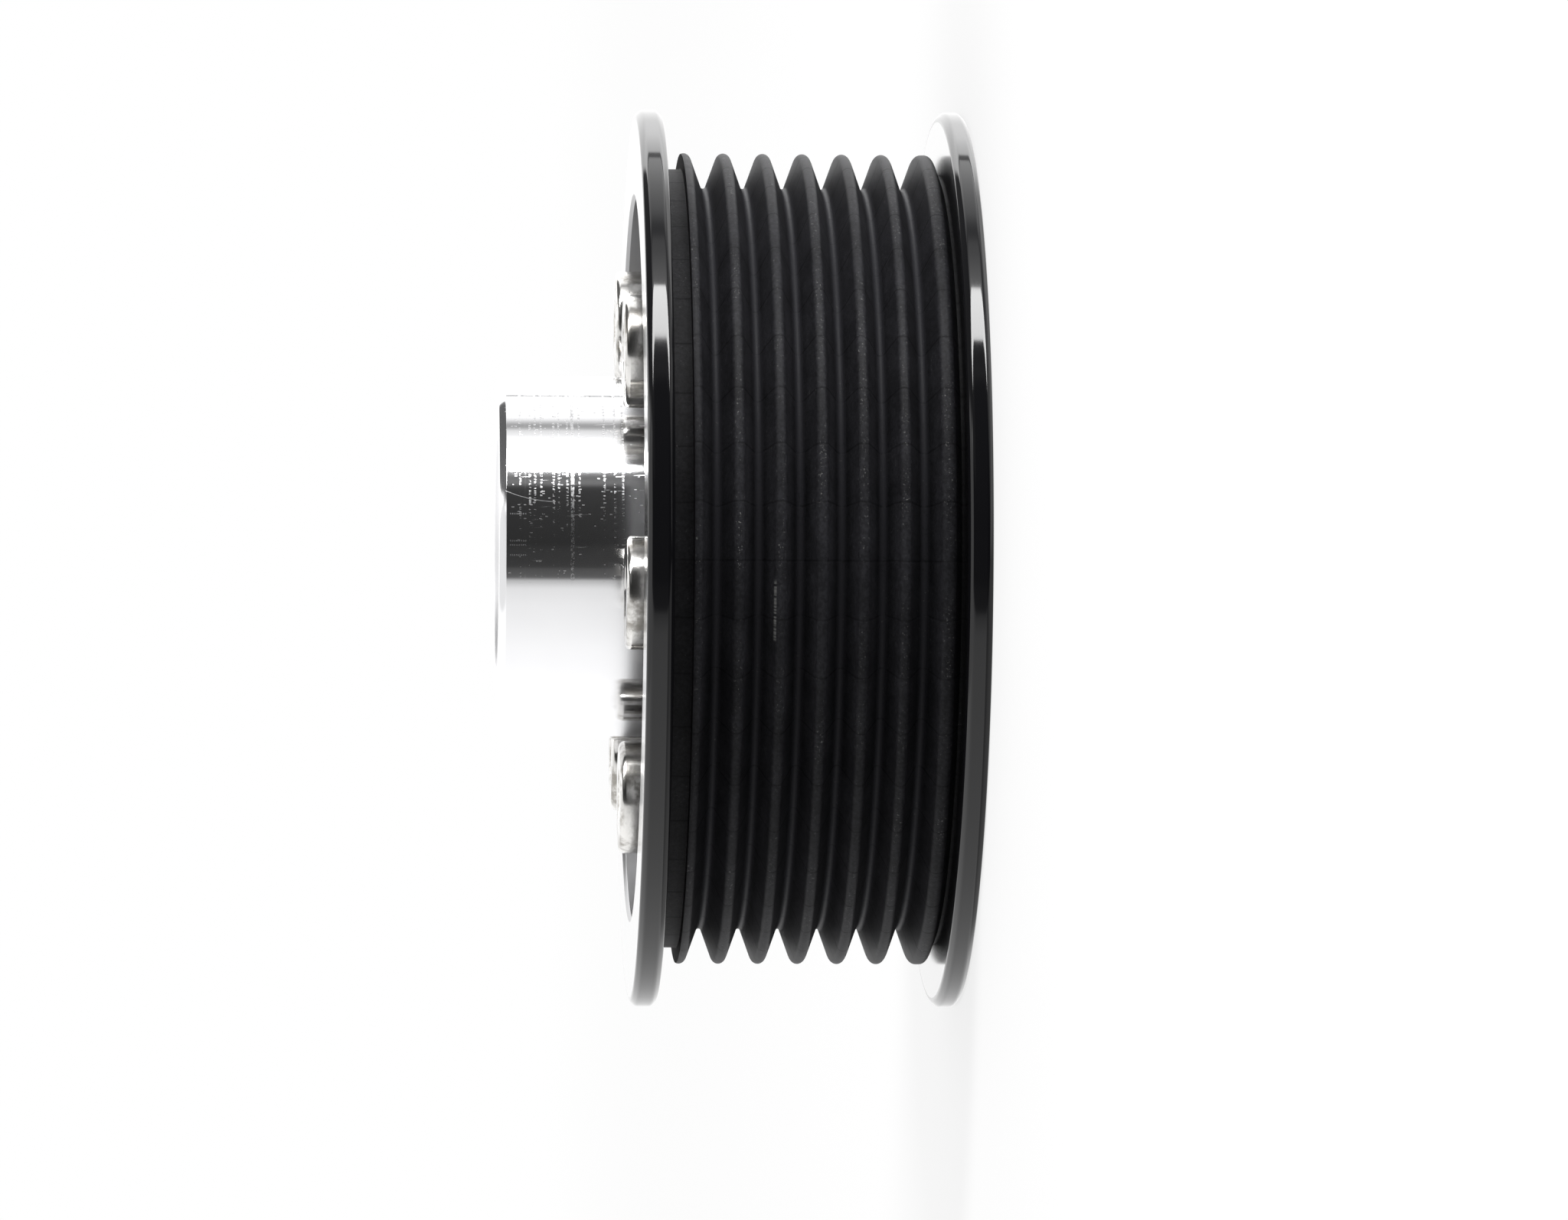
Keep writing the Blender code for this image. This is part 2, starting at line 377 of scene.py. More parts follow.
class AxisField(Effect):
    """Radius and height in millimetres and the turn about the axis, from a place in metres."""

    name = "axis_field"
    inputs = (("Place", "NodeSocketVector", 0.0),)
    outputs = ("Radius", "Height", "Turn")

    def wire(self, graph: Graph, source: bpy.types.Node) -> tuple[Socket, ...]:
        """Builds the inside of the group.

        Args:
            graph: The group's tree.
            source: The group's input node.

        Returns:
            Radius, height and turn in radians.
        """
        split = graph.add("ShaderNodeSeparateXYZ")
        graph.feed(split.inputs[0], source.outputs["Place"])
        x, y, z = split.outputs
        squares = graph.plus(graph.times(x, x), graph.times(y, y))
        turn = graph.math("ARCTAN2", x, graph.times(y, -1.0))
        return graph.over(graph.math("SQRT", squares), MM), graph.over(z, MM), turn


class ToolRings(Effect):
    """Rings left by the lathe tool, broken up along the turn."""

    name = "tool_rings"
    inputs = (
        ("Place", "NodeSocketVector", 0.0),
        ("Pitch", "NodeSocketFloat", 0.2),
        ("Break", "NodeSocketFloat", 0.5),
    )
    outputs = ("Height", "Streak")
    height_share = 0.97
    coarse_share = 0.31
    coarse_seed = 7.0
    streak_span = (0.6, 0.72)
    drift_scale = 90.0
    drift_span = (0.35, 0.7)
    drift_share = 0.5

    def wire(self, graph: Graph, source: bpy.types.Node) -> tuple[Socket, ...]:
        """Builds the inside of the group.

        Args:
            graph: The group's tree.
            source: The group's input node.

        Returns:
            A height for bump, and a mask of the deeper rings.
        """
        field = AxisField().place(graph, Place=source.outputs["Place"])
        across = graph.plus(field["Radius"], graph.times(field["Height"], self.height_share))
        step = graph.over(across, source.outputs["Pitch"])
        fine = graph.noise(graph.vector(step, 0.0, 0.0), detail=3.0, rough=0.6)
        coarse = graph.noise(graph.vector(graph.times(step, self.coarse_share), self.coarse_seed, 0.0))
        drift = graph.noise(source.outputs["Place"], self.drift_scale)
        level = graph.blend(source.outputs["Break"], 1.0, graph.spread(drift, *self.drift_span))
        height = graph.times(fine, graph.blend(self.drift_share, 1.0, level))
        return height, graph.times(graph.spread(coarse, *self.streak_span), level)


class BlastGrain(Effect):
    """Fine pits of a blasted surface, and a mask of the few that are painted as glints."""

    name = "blast_grain"
    inputs = (("Place", "NodeSocketVector", 0.0), ("Grain", "NodeSocketFloat", 0.1))
    outputs = ("Height", "Glint", "Cloud")
    pit_scale = 0.7
    glint_scale = 0.45
    glint_span = (0.68, 0.8)
    cloud_scale = 260.0
    cloud_span = (0.42, 0.62)

    def wire(self, graph: Graph, source: bpy.types.Node) -> tuple[Socket, ...]:
        """Builds the inside of the group.

        Args:
            graph: The group's tree.
            source: The group's input node.

        Returns:
            A height for bump, a mask of painted glints and a soft cloudiness.
        """
        scaled = graph.add("ShaderNodeVectorMath", operation="SCALE")
        graph.feed(scaled.inputs[0], source.outputs["Place"])
        graph.feed(scaled.inputs["Scale"], graph.over(1.0 / MM, source.outputs["Grain"]))
        pits = graph.noise(scaled.outputs[0], self.pit_scale, detail=3.0, rough=0.65)
        points = graph.noise(scaled.outputs[0], self.glint_scale, detail=1.0)
        cloud = graph.noise(source.outputs["Place"], self.cloud_scale, detail=3.0, rough=0.6)
        glint = graph.times(graph.spread(points, *self.glint_span), graph.spread(cloud, *self.cloud_span))
        return pits, glint, cloud


class EdgeWearAndSheen(Effect):
    """A band on an outer edge, where the surface reaches past a radius: worn spots that also stand in as a
    painted sheen.
    """

    name = "edge_wear_and_sheen"
    inputs = (
        ("Place", "NodeSocketVector", 0.0),
        ("Radius", "NodeSocketFloat", 10.0),
        ("Band", "NodeSocketFloat", 0.2),
    )
    outputs = ("Mask",)
    spot_scale = 5000.0
    spot_span = (0.6, 0.72)
    rub_scale = 150.0
    rub_span = (0.35, 0.65)

    def wire(self, graph: Graph, source: bpy.types.Node) -> tuple[Socket, ...]:
        """Builds the inside of the group.

        Args:
            graph: The group's tree.
            source: The group's input node.

        Returns:
            The mask of worn spots and painted sheen.
        """
        place = source.outputs["Place"]
        field = AxisField().place(graph, Place=place)
        past = graph.minus(field["Radius"], source.outputs["Radius"])
        near = graph.math("DIVIDE", past, source.outputs["Band"], clamp=True)
        spots = graph.spread(graph.noise(place, self.spot_scale, rough=0.7), *self.spot_span)
        rubbed = graph.spread(graph.noise(place, self.rub_scale), *self.rub_span)
        return (graph.times(near, graph.times(spots, rubbed)),)


class DustFlecks(Effect):
    """Sparse pale flecks that lie on a surface."""

    name = "dust_flecks"
    inputs = (("Place", "NodeSocketVector", 0.0), ("Amount", "NodeSocketFloat", 0.1))
    outputs = ("Mask",)
    cells_per_metre = 420.0
    largest_share = 0.06

    def wire(self, graph: Graph, source: bpy.types.Node) -> tuple[Socket, ...]:
        """Builds the inside of the group.

        Args:
            graph: The group's tree.
            source: The group's input node.

        Returns:
            The mask of flecks.
        """
        cells = graph.add("ShaderNodeTexVoronoi")
        graph.feed(cells.inputs["Vector"], source.outputs["Place"])
        graph.feed(cells.inputs["Scale"], self.cells_per_metre)
        chance = graph.add("ShaderNodeSeparateColor")
        graph.feed(chance.inputs[0], cells.outputs["Color"])
        kept = graph.math("LESS_THAN", chance.outputs[0], source.outputs["Amount"])
        size = graph.times(chance.outputs[1], self.largest_share)
        near = graph.math("LESS_THAN", cells.outputs["Distance"], size)
        return (graph.times(kept, near),)


@dataclass(frozen=True)
class Finish:
    """What every finish has: a name, a colour, a plain roughness and how it answers light."""

    name: str
    colour: Colour
    roughness: float
    coat: Coat = Coat.DYED

    def start(self) -> tuple[bpy.types.Material, Graph, bpy.types.Node, Socket]:
        """Makes the material and its shader.

        Returns:
            The material, its graph, the shader node and the place on the object in metres.
        """
        material = bpy.data.materials.new(self.name)
        material.use_nodes = True
        graph = Graph(material.node_tree)
        shader = material.node_tree.nodes["Principled BSDF"]
        shader.inputs["Base Color"].default_value = opaque(self.colour)
        shader.inputs["Roughness"].default_value = self.roughness
        shader.inputs["Metallic"].default_value = self.coat.value
        place = graph.add("ShaderNodeTexCoord").outputs["Object"]
        return material, graph, shader, place

    @staticmethod
    def bump(graph: Graph, shader: bpy.types.Node, height: Socket, depth: float) -> None:
        """Feeds a height to the shader's normal.

        Args:
            graph: The material's tree.
            shader: The shader node.
            height: The height, about 0 to 1.
            depth: What a height of 1 stands for, in millimetres.
        """
        node = graph.add("ShaderNodeBump")
        node.inputs["Strength"].default_value = 1.0
        node.inputs["Distance"].default_value = depth * MM
        graph.feed(node.inputs["Height"], height)
        graph.feed(shader.inputs["Normal"], node.outputs["Normal"])


@dataclass(frozen=True)
class DustyFinish(Finish):
    """A finish with a little pale dust on it."""

    dust: float = 0.03
    dust_colour: Colour = (0.35, 0.35, 0.34)
    dust_roughness: float = 0.8

    def flecks(self, graph: Graph, place: Socket) -> Socket:
        """The mask of the dust."""
        return DustFlecks().place(graph, Place=place, Amount=self.dust)["Mask"]

    def dusted(self, graph: Graph, dust: Socket, colour: Socket | tuple) -> Socket:
        """A colour with the dust laid over it."""
        return graph.tint(dust, colour, opaque(self.dust_colour))


@dataclass(frozen=True)
class RimFinish(DustyFinish):
    """Polished and dyed black, as on the flanges' outer edges."""

    refraction: float = 1.5
    ring_pitch: float = 0.12
    ring_depth: float = 0.0006
    ring_break: float = 0.6
    smear_scale: float = 120.0
    smear_span: Span = (0.35, 0.75)
    smear_shares: Span = (0.85, 1.35)

    def build(self) -> bpy.types.Material:
        """Builds the material.

        Returns:
            The material.
        """
        material, graph, shader, place = self.start()
        rings = ToolRings().place(graph, Place=place, Pitch=self.ring_pitch, Break=self.ring_break)
        dust = self.flecks(graph, place)
        low, high = (self.roughness * share for share in self.smear_shares)
        haze = graph.spread(graph.noise(place, self.smear_scale, detail=3.0), *self.smear_span, (low, high))
        graph.feed(shader.inputs["Roughness"], graph.blend(dust, haze, self.dust_roughness))
        graph.feed(shader.inputs["Base Color"], self.dusted(graph, dust, opaque(self.colour)))
        shader.inputs["IOR"].default_value = self.refraction
        self.bump(graph, shader, rings["Height"], self.ring_depth)
        return material


@dataclass(frozen=True)
class GrooveFinish(DustyFinish):
    """Blasted and dyed black grip surface, worked in steps round the ring, with painted light in its
    colour.
    """

    dust: float = 0.012
    dust_colour: Colour = (0.5, 0.5, 0.48)
    gloss: float = 0.12
    crest_radius: float = 36.5
    root_radius: float = 33.4
    root_reach: Span = (0.25, 0.6)
    root_painted_light: float = 0.78
    flank_level: float = 0.52
    cloud_span: Span = (0.3, 0.7)
    cloud_levels: Span = (0.8, 1.25)
    mottle_scale: float = 3200.0
    mottle_span: Span = (0.35, 0.65)
    mottle_levels: Span = (0.72, 1.28)
    step_count: int = 45
    seam_width: float = 0.16
    seam_waver: float = 0.05
    seam_shade: float = 0.4
    seam_roughness: float = 0.1
    seam_depth: float = 0.5
    waver_scale: float = 0.8
    grain: float = 0.09
    grain_depth: float = 0.02
    wear_and_sheen_reach: float = 0.22
    wear_and_sheen_band: float = 0.2
    wear_and_sheen_share: float = 0.6
    glint_share: float = 0.35
    scuff_share: float = 0.7
    scuff_height: float = 18.35
    scuff_band: Span = (0.05, 0.09)
    scuff_turns: Span = (-0.188, -0.056)
    scuff_fade: float = 0.01
    flicker_scale: float = 140.0
    flicker_span: Span = (0.42, 0.55)
    wear_and_highlight_colour: Colour = (0.14, 0.14, 0.137)
    worn_polish: float = 0.2

    def scuff(self, graph: Graph, field: dict[str, Socket]) -> Socket:
        """One broken light scuff that runs along a crest.

        Args:
            graph: The material's tree.
            field: Radius, height and turn.

        Returns:
            The mask of the scuff.
        """
        low, high = self.scuff_turns
        across = graph.band(field["Height"], self.scuff_height, *self.scuff_band)
        along = graph.band(field["Turn"], (low + high) / 2.0, (high - low) / 2.0, self.scuff_fade)
        flicker = graph.noise(graph.vector(0.0, graph.times(field["Turn"], self.flicker_scale), 1.0))
        return graph.times(graph.times(across, along), graph.spread(flicker, *self.flicker_span))

    def seams(self, graph: Graph, field: dict[str, Socket]) -> Socket:
        """Faint lines across the ribs, where one worked step meets the next.

        Args:
            graph: The material's tree.
            field: Radius, height and turn.

        Returns:
            The mask of the lines.
        """
        steps = graph.times(field["Turn"], self.step_count / FULL_TURN)
        waver = graph.noise(graph.vector(field["Height"], field["Turn"], 0.0), self.waver_scale)
        moved = graph.plus(steps, graph.times(waver, self.seam_waver))
        beside = graph.apart(graph.math("FRACT", moved), 0.5)
        arc = FULL_TURN * self.crest_radius / self.step_count
        return graph.spread(beside, 0.5 - self.seam_width / arc, 0.5)

    def shade(self, graph: Graph, place: Socket, field: dict[str, Socket], cloud: Socket) -> Socket:
        """How much of the colour shows: most in the roots as painted light, and mottled all over.

        Args:
            graph: The material's tree.
            place: The place on the object.
            field: Radius, height and turn.
            cloud: A soft cloudiness.

        Returns:
            The share of the colour over black.
        """
        near, far = (self.root_radius + reach for reach in self.root_reach)
        # painted light: the roots are made lighter than the flanks and crests
        root = graph.fade(field["Radius"], near, far)
        depth = graph.plus(graph.times(root, self.root_painted_light), self.flank_level)
        soft = graph.spread(cloud, *self.cloud_span, self.cloud_levels)
        mottle = graph.noise(place, self.mottle_scale, detail=3.0, rough=0.6)
        mottle = graph.spread(mottle, *self.mottle_span, self.mottle_levels)
        return graph.times(depth, graph.times(soft, mottle))

    def build(self) -> bpy.types.Material:
        """Builds the material.

        Returns:
            The material.
        """
        material, graph, shader, place = self.start()
        shader.inputs["Specular IOR Level"].default_value = self.gloss
        field = AxisField().place(graph, Place=place)
        grain = BlastGrain().place(graph, Place=place, Grain=self.grain)
        crest = self.crest_radius - self.wear_and_sheen_reach
        wear_and_sheen = EdgeWearAndSheen().place(graph, Place=place, Radius=crest, Band=self.wear_and_sheen_band)["Mask"]
        dust = self.flecks(graph, place)
        seam = self.seams(graph, field)
        shade = self.shade(graph, place, field, grain["Cloud"])
        shade = graph.times(shade, graph.minus(1.0, graph.times(seam, self.seam_shade)))
        dyed = graph.tint(shade, BLACK, opaque(self.colour))
        # painted highlight: glints and a sheen on the crests, mixed with worn spots and the scuff, lighten
        # the colour
        bright = graph.plus(
            graph.times(wear_and_sheen, self.wear_and_sheen_share),
            graph.times(grain["Glint"], self.glint_share),
            graph.times(self.scuff(graph, field), self.scuff_share),
        )
        worn = graph.tint(graph.math("ADD", bright, 0.0, clamp=True), dyed, opaque(self.wear_and_highlight_colour))
        graph.feed(shader.inputs["Base Color"], self.dusted(graph, dust, worn))
        rough = graph.minus(self.roughness, graph.times(bright, self.worn_polish))
        graph.feed(shader.inputs["Roughness"], graph.plus(rough, graph.times(seam, self.seam_roughness)))
        height = graph.minus(grain["Height"], graph.times(seam, self.seam_depth))
        self.bump(graph, shader, height, self.grain_depth)
        return material


@dataclass(frozen=True)
class FaceFinish(DustyFinish):
    """Turned, with the tool's rings left in it, and dyed, lacquered or left bare."""

    ring_pitch: float = 0.18
    ring_depth: float = 0.0004
    ring_break: float = 0.5
    streak_gain: float = 1.8
    streak_roughness: float = 1.4
    lacquer: float = 0.0
    lacquer_roughness: float = 0.16

    def build(self) -> bpy.types.Material:
        """Builds the material.

        Returns:
            The material.
        """
        material, graph, shader, place = self.start()
        rings = ToolRings().place(graph, Place=place, Pitch=self.ring_pitch, Break=self.ring_break)
        dust = self.flecks(graph, place)
        levels = (self.roughness, self.roughness * self.streak_roughness)
        rough = graph.spread(rings["Streak"], 0.0, 1.0, levels)
        graph.feed(shader.inputs["Roughness"], graph.blend(dust, rough, self.dust_roughness))
        shader.inputs["Coat Weight"].default_value = self.lacquer
        shader.inputs["Coat Roughness"].default_value = self.lacquer_roughness
        streak = tuple(self.streak_gain * channel for channel in self.colour)
        streaked = graph.tint(rings["Streak"], opaque(self.colour), opaque(streak))
        graph.feed(shader.inputs["Base Color"], self.dusted(graph, dust, streaked))
        self.bump(graph, shader, rings["Height"], self.ring_depth)
        return material


@dataclass(frozen=True)
class BrokenRings:
    """Scored rings round the boss, broken up and denser towards one side.

    Lengths are in millimetres. A band is half a ring's width and the width of its soft edge.
    """

    heights: tuple[float, ...]
    band: Span
    scale: Span
    seed: float
    detail: float
    rough: float
    run: Span
    limits: Span
    contrast: float

    def mask(self, graph: Graph, height: Socket, around: Socket) -> Socket:
        """Builds the rings.

        Args:
            graph: The material's tree.
            height: Height along the axis.
            around: Length round the boss.

        Returns:
            The mask of the rings.
        """
        along, across = self.scale
        place = graph.vector(graph.times(height, along), graph.times(around, across), self.seed)
        noise = graph.noise(place, detail=self.detail, rough=self.rough)
        over = graph.minus(noise, graph.spread(around, *self.run, self.limits))
        share = graph.math("MULTIPLY", over, self.contrast, clamp=True)
        rings = graph.highest(*(graph.band(height, at, *self.band) for at in self.heights))
        return graph.times(rings, share)


@dataclass(frozen=True)
class TurnedFinish(DustyFinish):
    """Bright turned metal with tool rings, rows of nicks and a few scratches.

    The marks are placed by height along the axis and by length round the boss, in
    millimetres. A span named band holds half a width and the width of a soft edge.
    """

    dust: float = 0.04
    dust_colour: Colour = (0.4, 0.4, 0.39)
    ring_pitch: float = 0.2
    ring_depth: float = 0.0006
    ring_break: float = 0.4
    streak_roughness: float = 1.5
    smear: float = 0.9
    smear_turn: float = 0.25
    tone_scale: float = 90.0
    tone_span: Span = (0.3, 0.7)
    tone_levels: Span = (0.92, 1.0)
    tone_colour: Colour = (0.5, 0.5, 0.52)
    boss_radius: float = 16.35
    side_reach: Span = (0.12, 0.06)
    worn_from: Span = (-2.5, -1.7)
    worn_to: Span = (42.0, 48.0)
    mark_roughness: float = 0.55
    mark_depth: float = 2.0
    dashes: BrokenRings = BrokenRings(
        heights=(39.7, 38.85, 38.4, 37.85, 36.75, 36.3, 35.55, 34.5, 32.3, 31.35, 30.65),
        band=(0.07, 0.05), scale=(1.3, 4.6), seed=5.0, detail=2.0, rough=0.7,
        run=(1.0, 6.8), limits=(0.62, 0.5), contrast=14.0)
    strong_ring: BrokenRings = BrokenRings(
        heights=(35.1,), band=(0.1, 0.1), scale=(5.0, 3.6), seed=2.0, detail=3.0, rough=0.75,
        run=(-1.0, 6.8), limits=(0.5, 0.43), contrast=10.0)
    dot_rows: tuple[float, ...] = (3.9, 1.48, 1.11, 0.22)
    dot_row_half: float = 0.05
    dot_span: Span = (39.2, 40.6)
    dot_pitch: float = 0.19
    dot_band: Span = (0.2, 0.1)
    speck_cell: Span = (0.27, 0.21)
    speck_long_band: Span = (0.36, 0.12)
    speck_thin_band: Span = (0.12, 0.16)
    speck_seed: float = 3.0
    speck_run: Span = (0.0, 6.8)
    speck_shares: Span = (0.04, 0.16)
    speck_heights: Span = (31.0, 40.5)
    speck_height_shares: Span = (0.35, 1.0)
    patch_scale: float = 0.9
    patch_seed: float = 4.0
    patch_span: Span = (0.42, 0.62)
    stroke_lean: float = 0.06
    stroke_scale: Span = (0.3, 5.5)
    stroke_seed: float = 9.0
    stroke_span: Span = (0.66, 0.74)
    stroke_levels: Span = (0.0, 0.5)
    scratch_low: float = 36.6
    scratch_start: float = 5.03
    scratch_bow: float = 0.051
    scratch_band: Span = (0.015, 0.04)
    scratch_level: float = 0.7

    def dots(self, graph: Graph, height: Socket, around: Socket) -> Socket:
        """Rows of dots along the axis near the boss's end.

        Args:
            graph: The material's tree.
            height: Height along the axis.
            around: Length round the boss.

        Returns:
            The mask of the dots.
        """
        rows = graph.highest(*(graph.band(around, at, self.dot_row_half) for at in self.dot_rows))
        step = graph.math("FRACT", graph.over(height, self.dot_pitch))
        low, high = self.dot_span
        inside = graph.band(height, (low + high) / 2.0, (high - low) / 2.0)
        return graph.times(rows, graph.times(graph.band(step, 0.5, *self.dot_band), inside))

    def specks(self, graph: Graph, height: Socket, around: Socket) -> Socket:
        """Small specks where the tool's rings and the polishing strokes cross.

        Args:
            graph: The material's tree.
            height: Height along the axis.
            around: Length round the boss.

        Returns:
            The mask of the specks.
        """
        across = graph.over(height, self.speck_cell[0])
        along = graph.over(around, self.speck_cell[1])
        chance = graph.add("ShaderNodeTexWhiteNoise", noise_dimensions="3D")
        cell = graph.vector(graph.math("FLOOR", across), graph.math("FLOOR", along), self.speck_seed)
        graph.feed(chance.inputs["Vector"], cell)
        cloud = graph.noise(graph.vector(height, around, self.patch_seed), self.patch_scale)
        share = graph.times(
            graph.spread(cloud, *self.patch_span),
            graph.spread(around, *self.speck_run, self.speck_shares),
            graph.spread(height, *self.speck_heights, self.speck_height_shares),
        )
        kept = graph.math("LESS_THAN", chance.outputs["Value"], share)
        long = graph.band(graph.math("FRACT", across), 0.5, *self.speck_long_band)
        thin = graph.band(graph.math("FRACT", along), 0.5, *self.speck_thin_band)
        return graph.times(kept, graph.times(long, thin))

    def strokes(self, graph: Graph, height: Socket, around: Socket) -> Socket:
        """Faint long strokes along the axis.

        Args:
            graph: The material's tree.
            height: Height along the axis.
            around: Length round the boss.

        Returns:
            The mask of the strokes.
        """
        slope = graph.plus(around, graph.times(height, self.stroke_lean))
        along, across = self.stroke_scale
        place = graph.vector(graph.times(height, along), graph.times(slope, across), self.stroke_seed)
        return graph.spread(graph.noise(place), *self.stroke_span, self.stroke_levels)

    def scratch(self, graph: Graph, height: Socket, around: Socket) -> Socket:
        """One thin curved scratch that starts at a height and runs to the boss's end.

        Args:
            graph: The material's tree.
            height: Height along the axis.
            around: Length round the boss.

        Returns:
            The mask of the scratch.
        """
        run = graph.minus(height, self.scratch_low)
        bow = graph.plus(graph.times(run, run, self.scratch_bow), self.scratch_start)
        thin = graph.band(graph.minus(around, bow), 0.0, *self.scratch_band)
        thin = graph.times(thin, graph.math("GREATER_THAN", run, 0.0))
        return graph.times(thin, self.scratch_level)

    def marks(self, graph: Graph, field: dict[str, Socket]) -> Socket:
        """All marks together, on the boss's side alone and where it is worn.

        Args:
            graph: The material's tree.
            field: Radius, height and turn.

        Returns:
            The mask of the marks.
        """
        height = field["Height"]
        around = graph.times(field["Turn"], self.boss_radius)
        rings = (self.dashes.mask, self.strong_ring.mask)
        kinds = (*rings, self.dots, self.specks, self.strokes, self.scratch)
        marks = graph.highest(*(kind(graph, height, around) for kind in kinds))
        low, high = (self.boss_radius - reach for reach in self.side_reach)
        side = graph.spread(field["Radius"], low, high)
        worn = graph.times(graph.spread(around, *self.worn_from), graph.fade(around, *self.worn_to))
        return graph.times(marks, graph.times(side, worn))

    def build(self) -> bpy.types.Material:
        """Builds the material.

        Returns:
            The material.
        """
        material, graph, shader, place = self.start()
        field = AxisField().place(graph, Place=place)
        rings = ToolRings().place(graph, Place=place, Pitch=self.ring_pitch, Break=self.ring_break)
        dust = self.flecks(graph, place)
        marks = self.marks(graph, field)
        tangent = graph.add("ShaderNodeTangent", direction_type="RADIAL", axis="Z")
        graph.feed(shader.inputs["Tangent"], tangent.outputs[0])
        shader.inputs["Anisotropic"].default_value = self.smear
        shader.inputs["Anisotropic Rotation"].default_value = self.smear_turn
        levels = (self.roughness, self.roughness * self.streak_roughness)
        rough = graph.spread(rings["Streak"], 0.0, 1.0, levels)
        graph.feed(shader.inputs["Roughness"], graph.blend(marks, rough, self.mark_roughness))
        cloud = graph.noise(place, self.tone_scale, detail=3.0)
        tone = graph.spread(cloud, *self.tone_span, self.tone_levels)
        metal = graph.tint(tone, opaque(self.tone_colour), opaque(self.colour))
        graph.feed(shader.inputs["Base Color"], self.dusted(graph, dust, metal))
        height = graph.minus(rings["Height"], graph.times(marks, self.mark_depth))
        self.bump(graph, shader, height, self.ring_depth)
        return material


@dataclass(frozen=True)
class PlatedFinish(Finish):
    """Bright plating over a forged head, uneven and a little stained."""

    grain: float = 0.32
    grain_share: float = 0.3
    dent_scale: float = 900.0
    dent_depth: float = 0.006
    stain_scale: float = 420.0
    stain_span: Span = (0.42, 0.68)
    stain_colour: Colour = (0.3, 0.285, 0.26)
    stain_roughness: float = 1.8

    def build(self) -> bpy.types.Material:
        """Builds the material.

        Returns:
            The material.
        """
        material, graph, shader, place = self.start()
        grain = BlastGrain().place(graph, Place=place, Grain=self.grain)
        dents = graph.noise(place, self.dent_scale, detail=3.0, rough=0.6)
        stain = graph.spread(graph.noise(place, self.stain_scale, detail=4.0, rough=0.65), *self.stain_span)
        stained = graph.tint(stain, opaque(self.colour), opaque(self.stain_colour))
        graph.feed(shader.inputs["Base Color"], stained)
        rough = graph.spread(stain, 0.0, 1.0, (self.roughness, self.roughness * self.stain_roughness))
        graph.feed(shader.inputs["Roughness"], rough)
        height = graph.plus(dents, graph.times(grain["Height"], self.grain_share))
        self.bump(graph, shader, height, self.dent_depth)
        return material


@dataclass(frozen=True)
class Corner:
    """A corner of a half section, with the surface that starts there and its rounding."""

    radius: float
    height: float
    surface: Surface = Surface.FACE
    rounding: float = 0.0
    steps: int = 4

    def point(self) -> Vector:
        """The corner as a flat vector."""
        return Vector((self.radius, self.height))


def arc_corners(
    centre: Point, radius: float, start: float, end: float, steps: int, surface: Surface
) -> list[Corner]:
    """Points of an arc in the half section.

    Args:
        centre: Radius and height of the arc's centre.
        radius: The arc's own radius.
        start: First angle, from outward towards up.
        end: Last angle.
        steps: Number of chords.
        surface: The surface on it.

    Returns:
        The arc as sharp corners.
    """
    angles = [start + (end - start) * step / steps for step in range(steps + 1)]
    return [
        Corner(centre[0] + radius * math.cos(a), centre[1] + radius * math.sin(a), surface)
        for a in angles
    ]


def trace(corners: list[Corner]) -> list[Corner]:
    """Rounds the corners of a closed half section.

    Args:
        corners: The corners in order.

    Returns:
        The outline with an arc in place of each rounded corner.
    """
    outline = []
    for index, corner in enumerate(corners):
        if corner.rounding <= 0.0:
            outline.append(corner)
            continue
        here = corner.point()
        before = (corners[index - 1].point() - here).normalized()
        after = (corners[(index + 1) % len(corners)].point() - here).normalized()
        half = before.angle(after) / 2.0
        centre = here + (before + after).normalized() * corner.rounding / math.sin(half)
        reach = corner.rounding / math.tan(half)
        first = here + before * reach - centre
        last = here + after * reach - centre
        turn = first.angle_signed(last)
        for step in range(corner.steps + 1):
            spoke = first.copy()
            spoke.rotate(Matrix.Rotation(-turn * step / corner.steps, 2))
            point = centre + spoke
            outline.append(Corner(point.x, point.y, corner.surface))
    return outline


def lathe(
    name: str, outline: list[Corner], steps: int, materials: list[bpy.types.Material]
) -> bpy.types.Mesh:
    """Turns a closed half section round the axis.

    Args:
        name: Name of the mesh.
        outline: The half section, running down its outer side.
        steps: Facets in a full turn.
        materials: One material for each kind of surface.

    Returns:
        The mesh, with each face in its surface's material slot.
    """
    count = len(outline)
    verts = []
    for step in range(steps):
        angle = FULL_TURN * step / steps
        across, along = math.cos(angle) * MM, math.sin(angle) * MM
        verts += [(c.radius * across, c.radius * along, c.height * MM) for c in outline]
    faces = []
    for step in range(steps):
        here, there = step * count, (step + 1) % steps * count
        for index in range(count):
            after = (index + 1) % count
            faces.append((here + index, here + after, there + after, there + index))
    mesh = bpy.data.meshes.new(name)
    mesh.from_pydata(verts, [], faces)
    for material in materials:
        mesh.materials.append(material)
    used = sorted({corner.surface.value for corner in outline})
    slots = [used.index(corner.surface.value) for corner in outline] * steps
    mesh.polygons.foreach_set("material_index", slots)
    return mesh


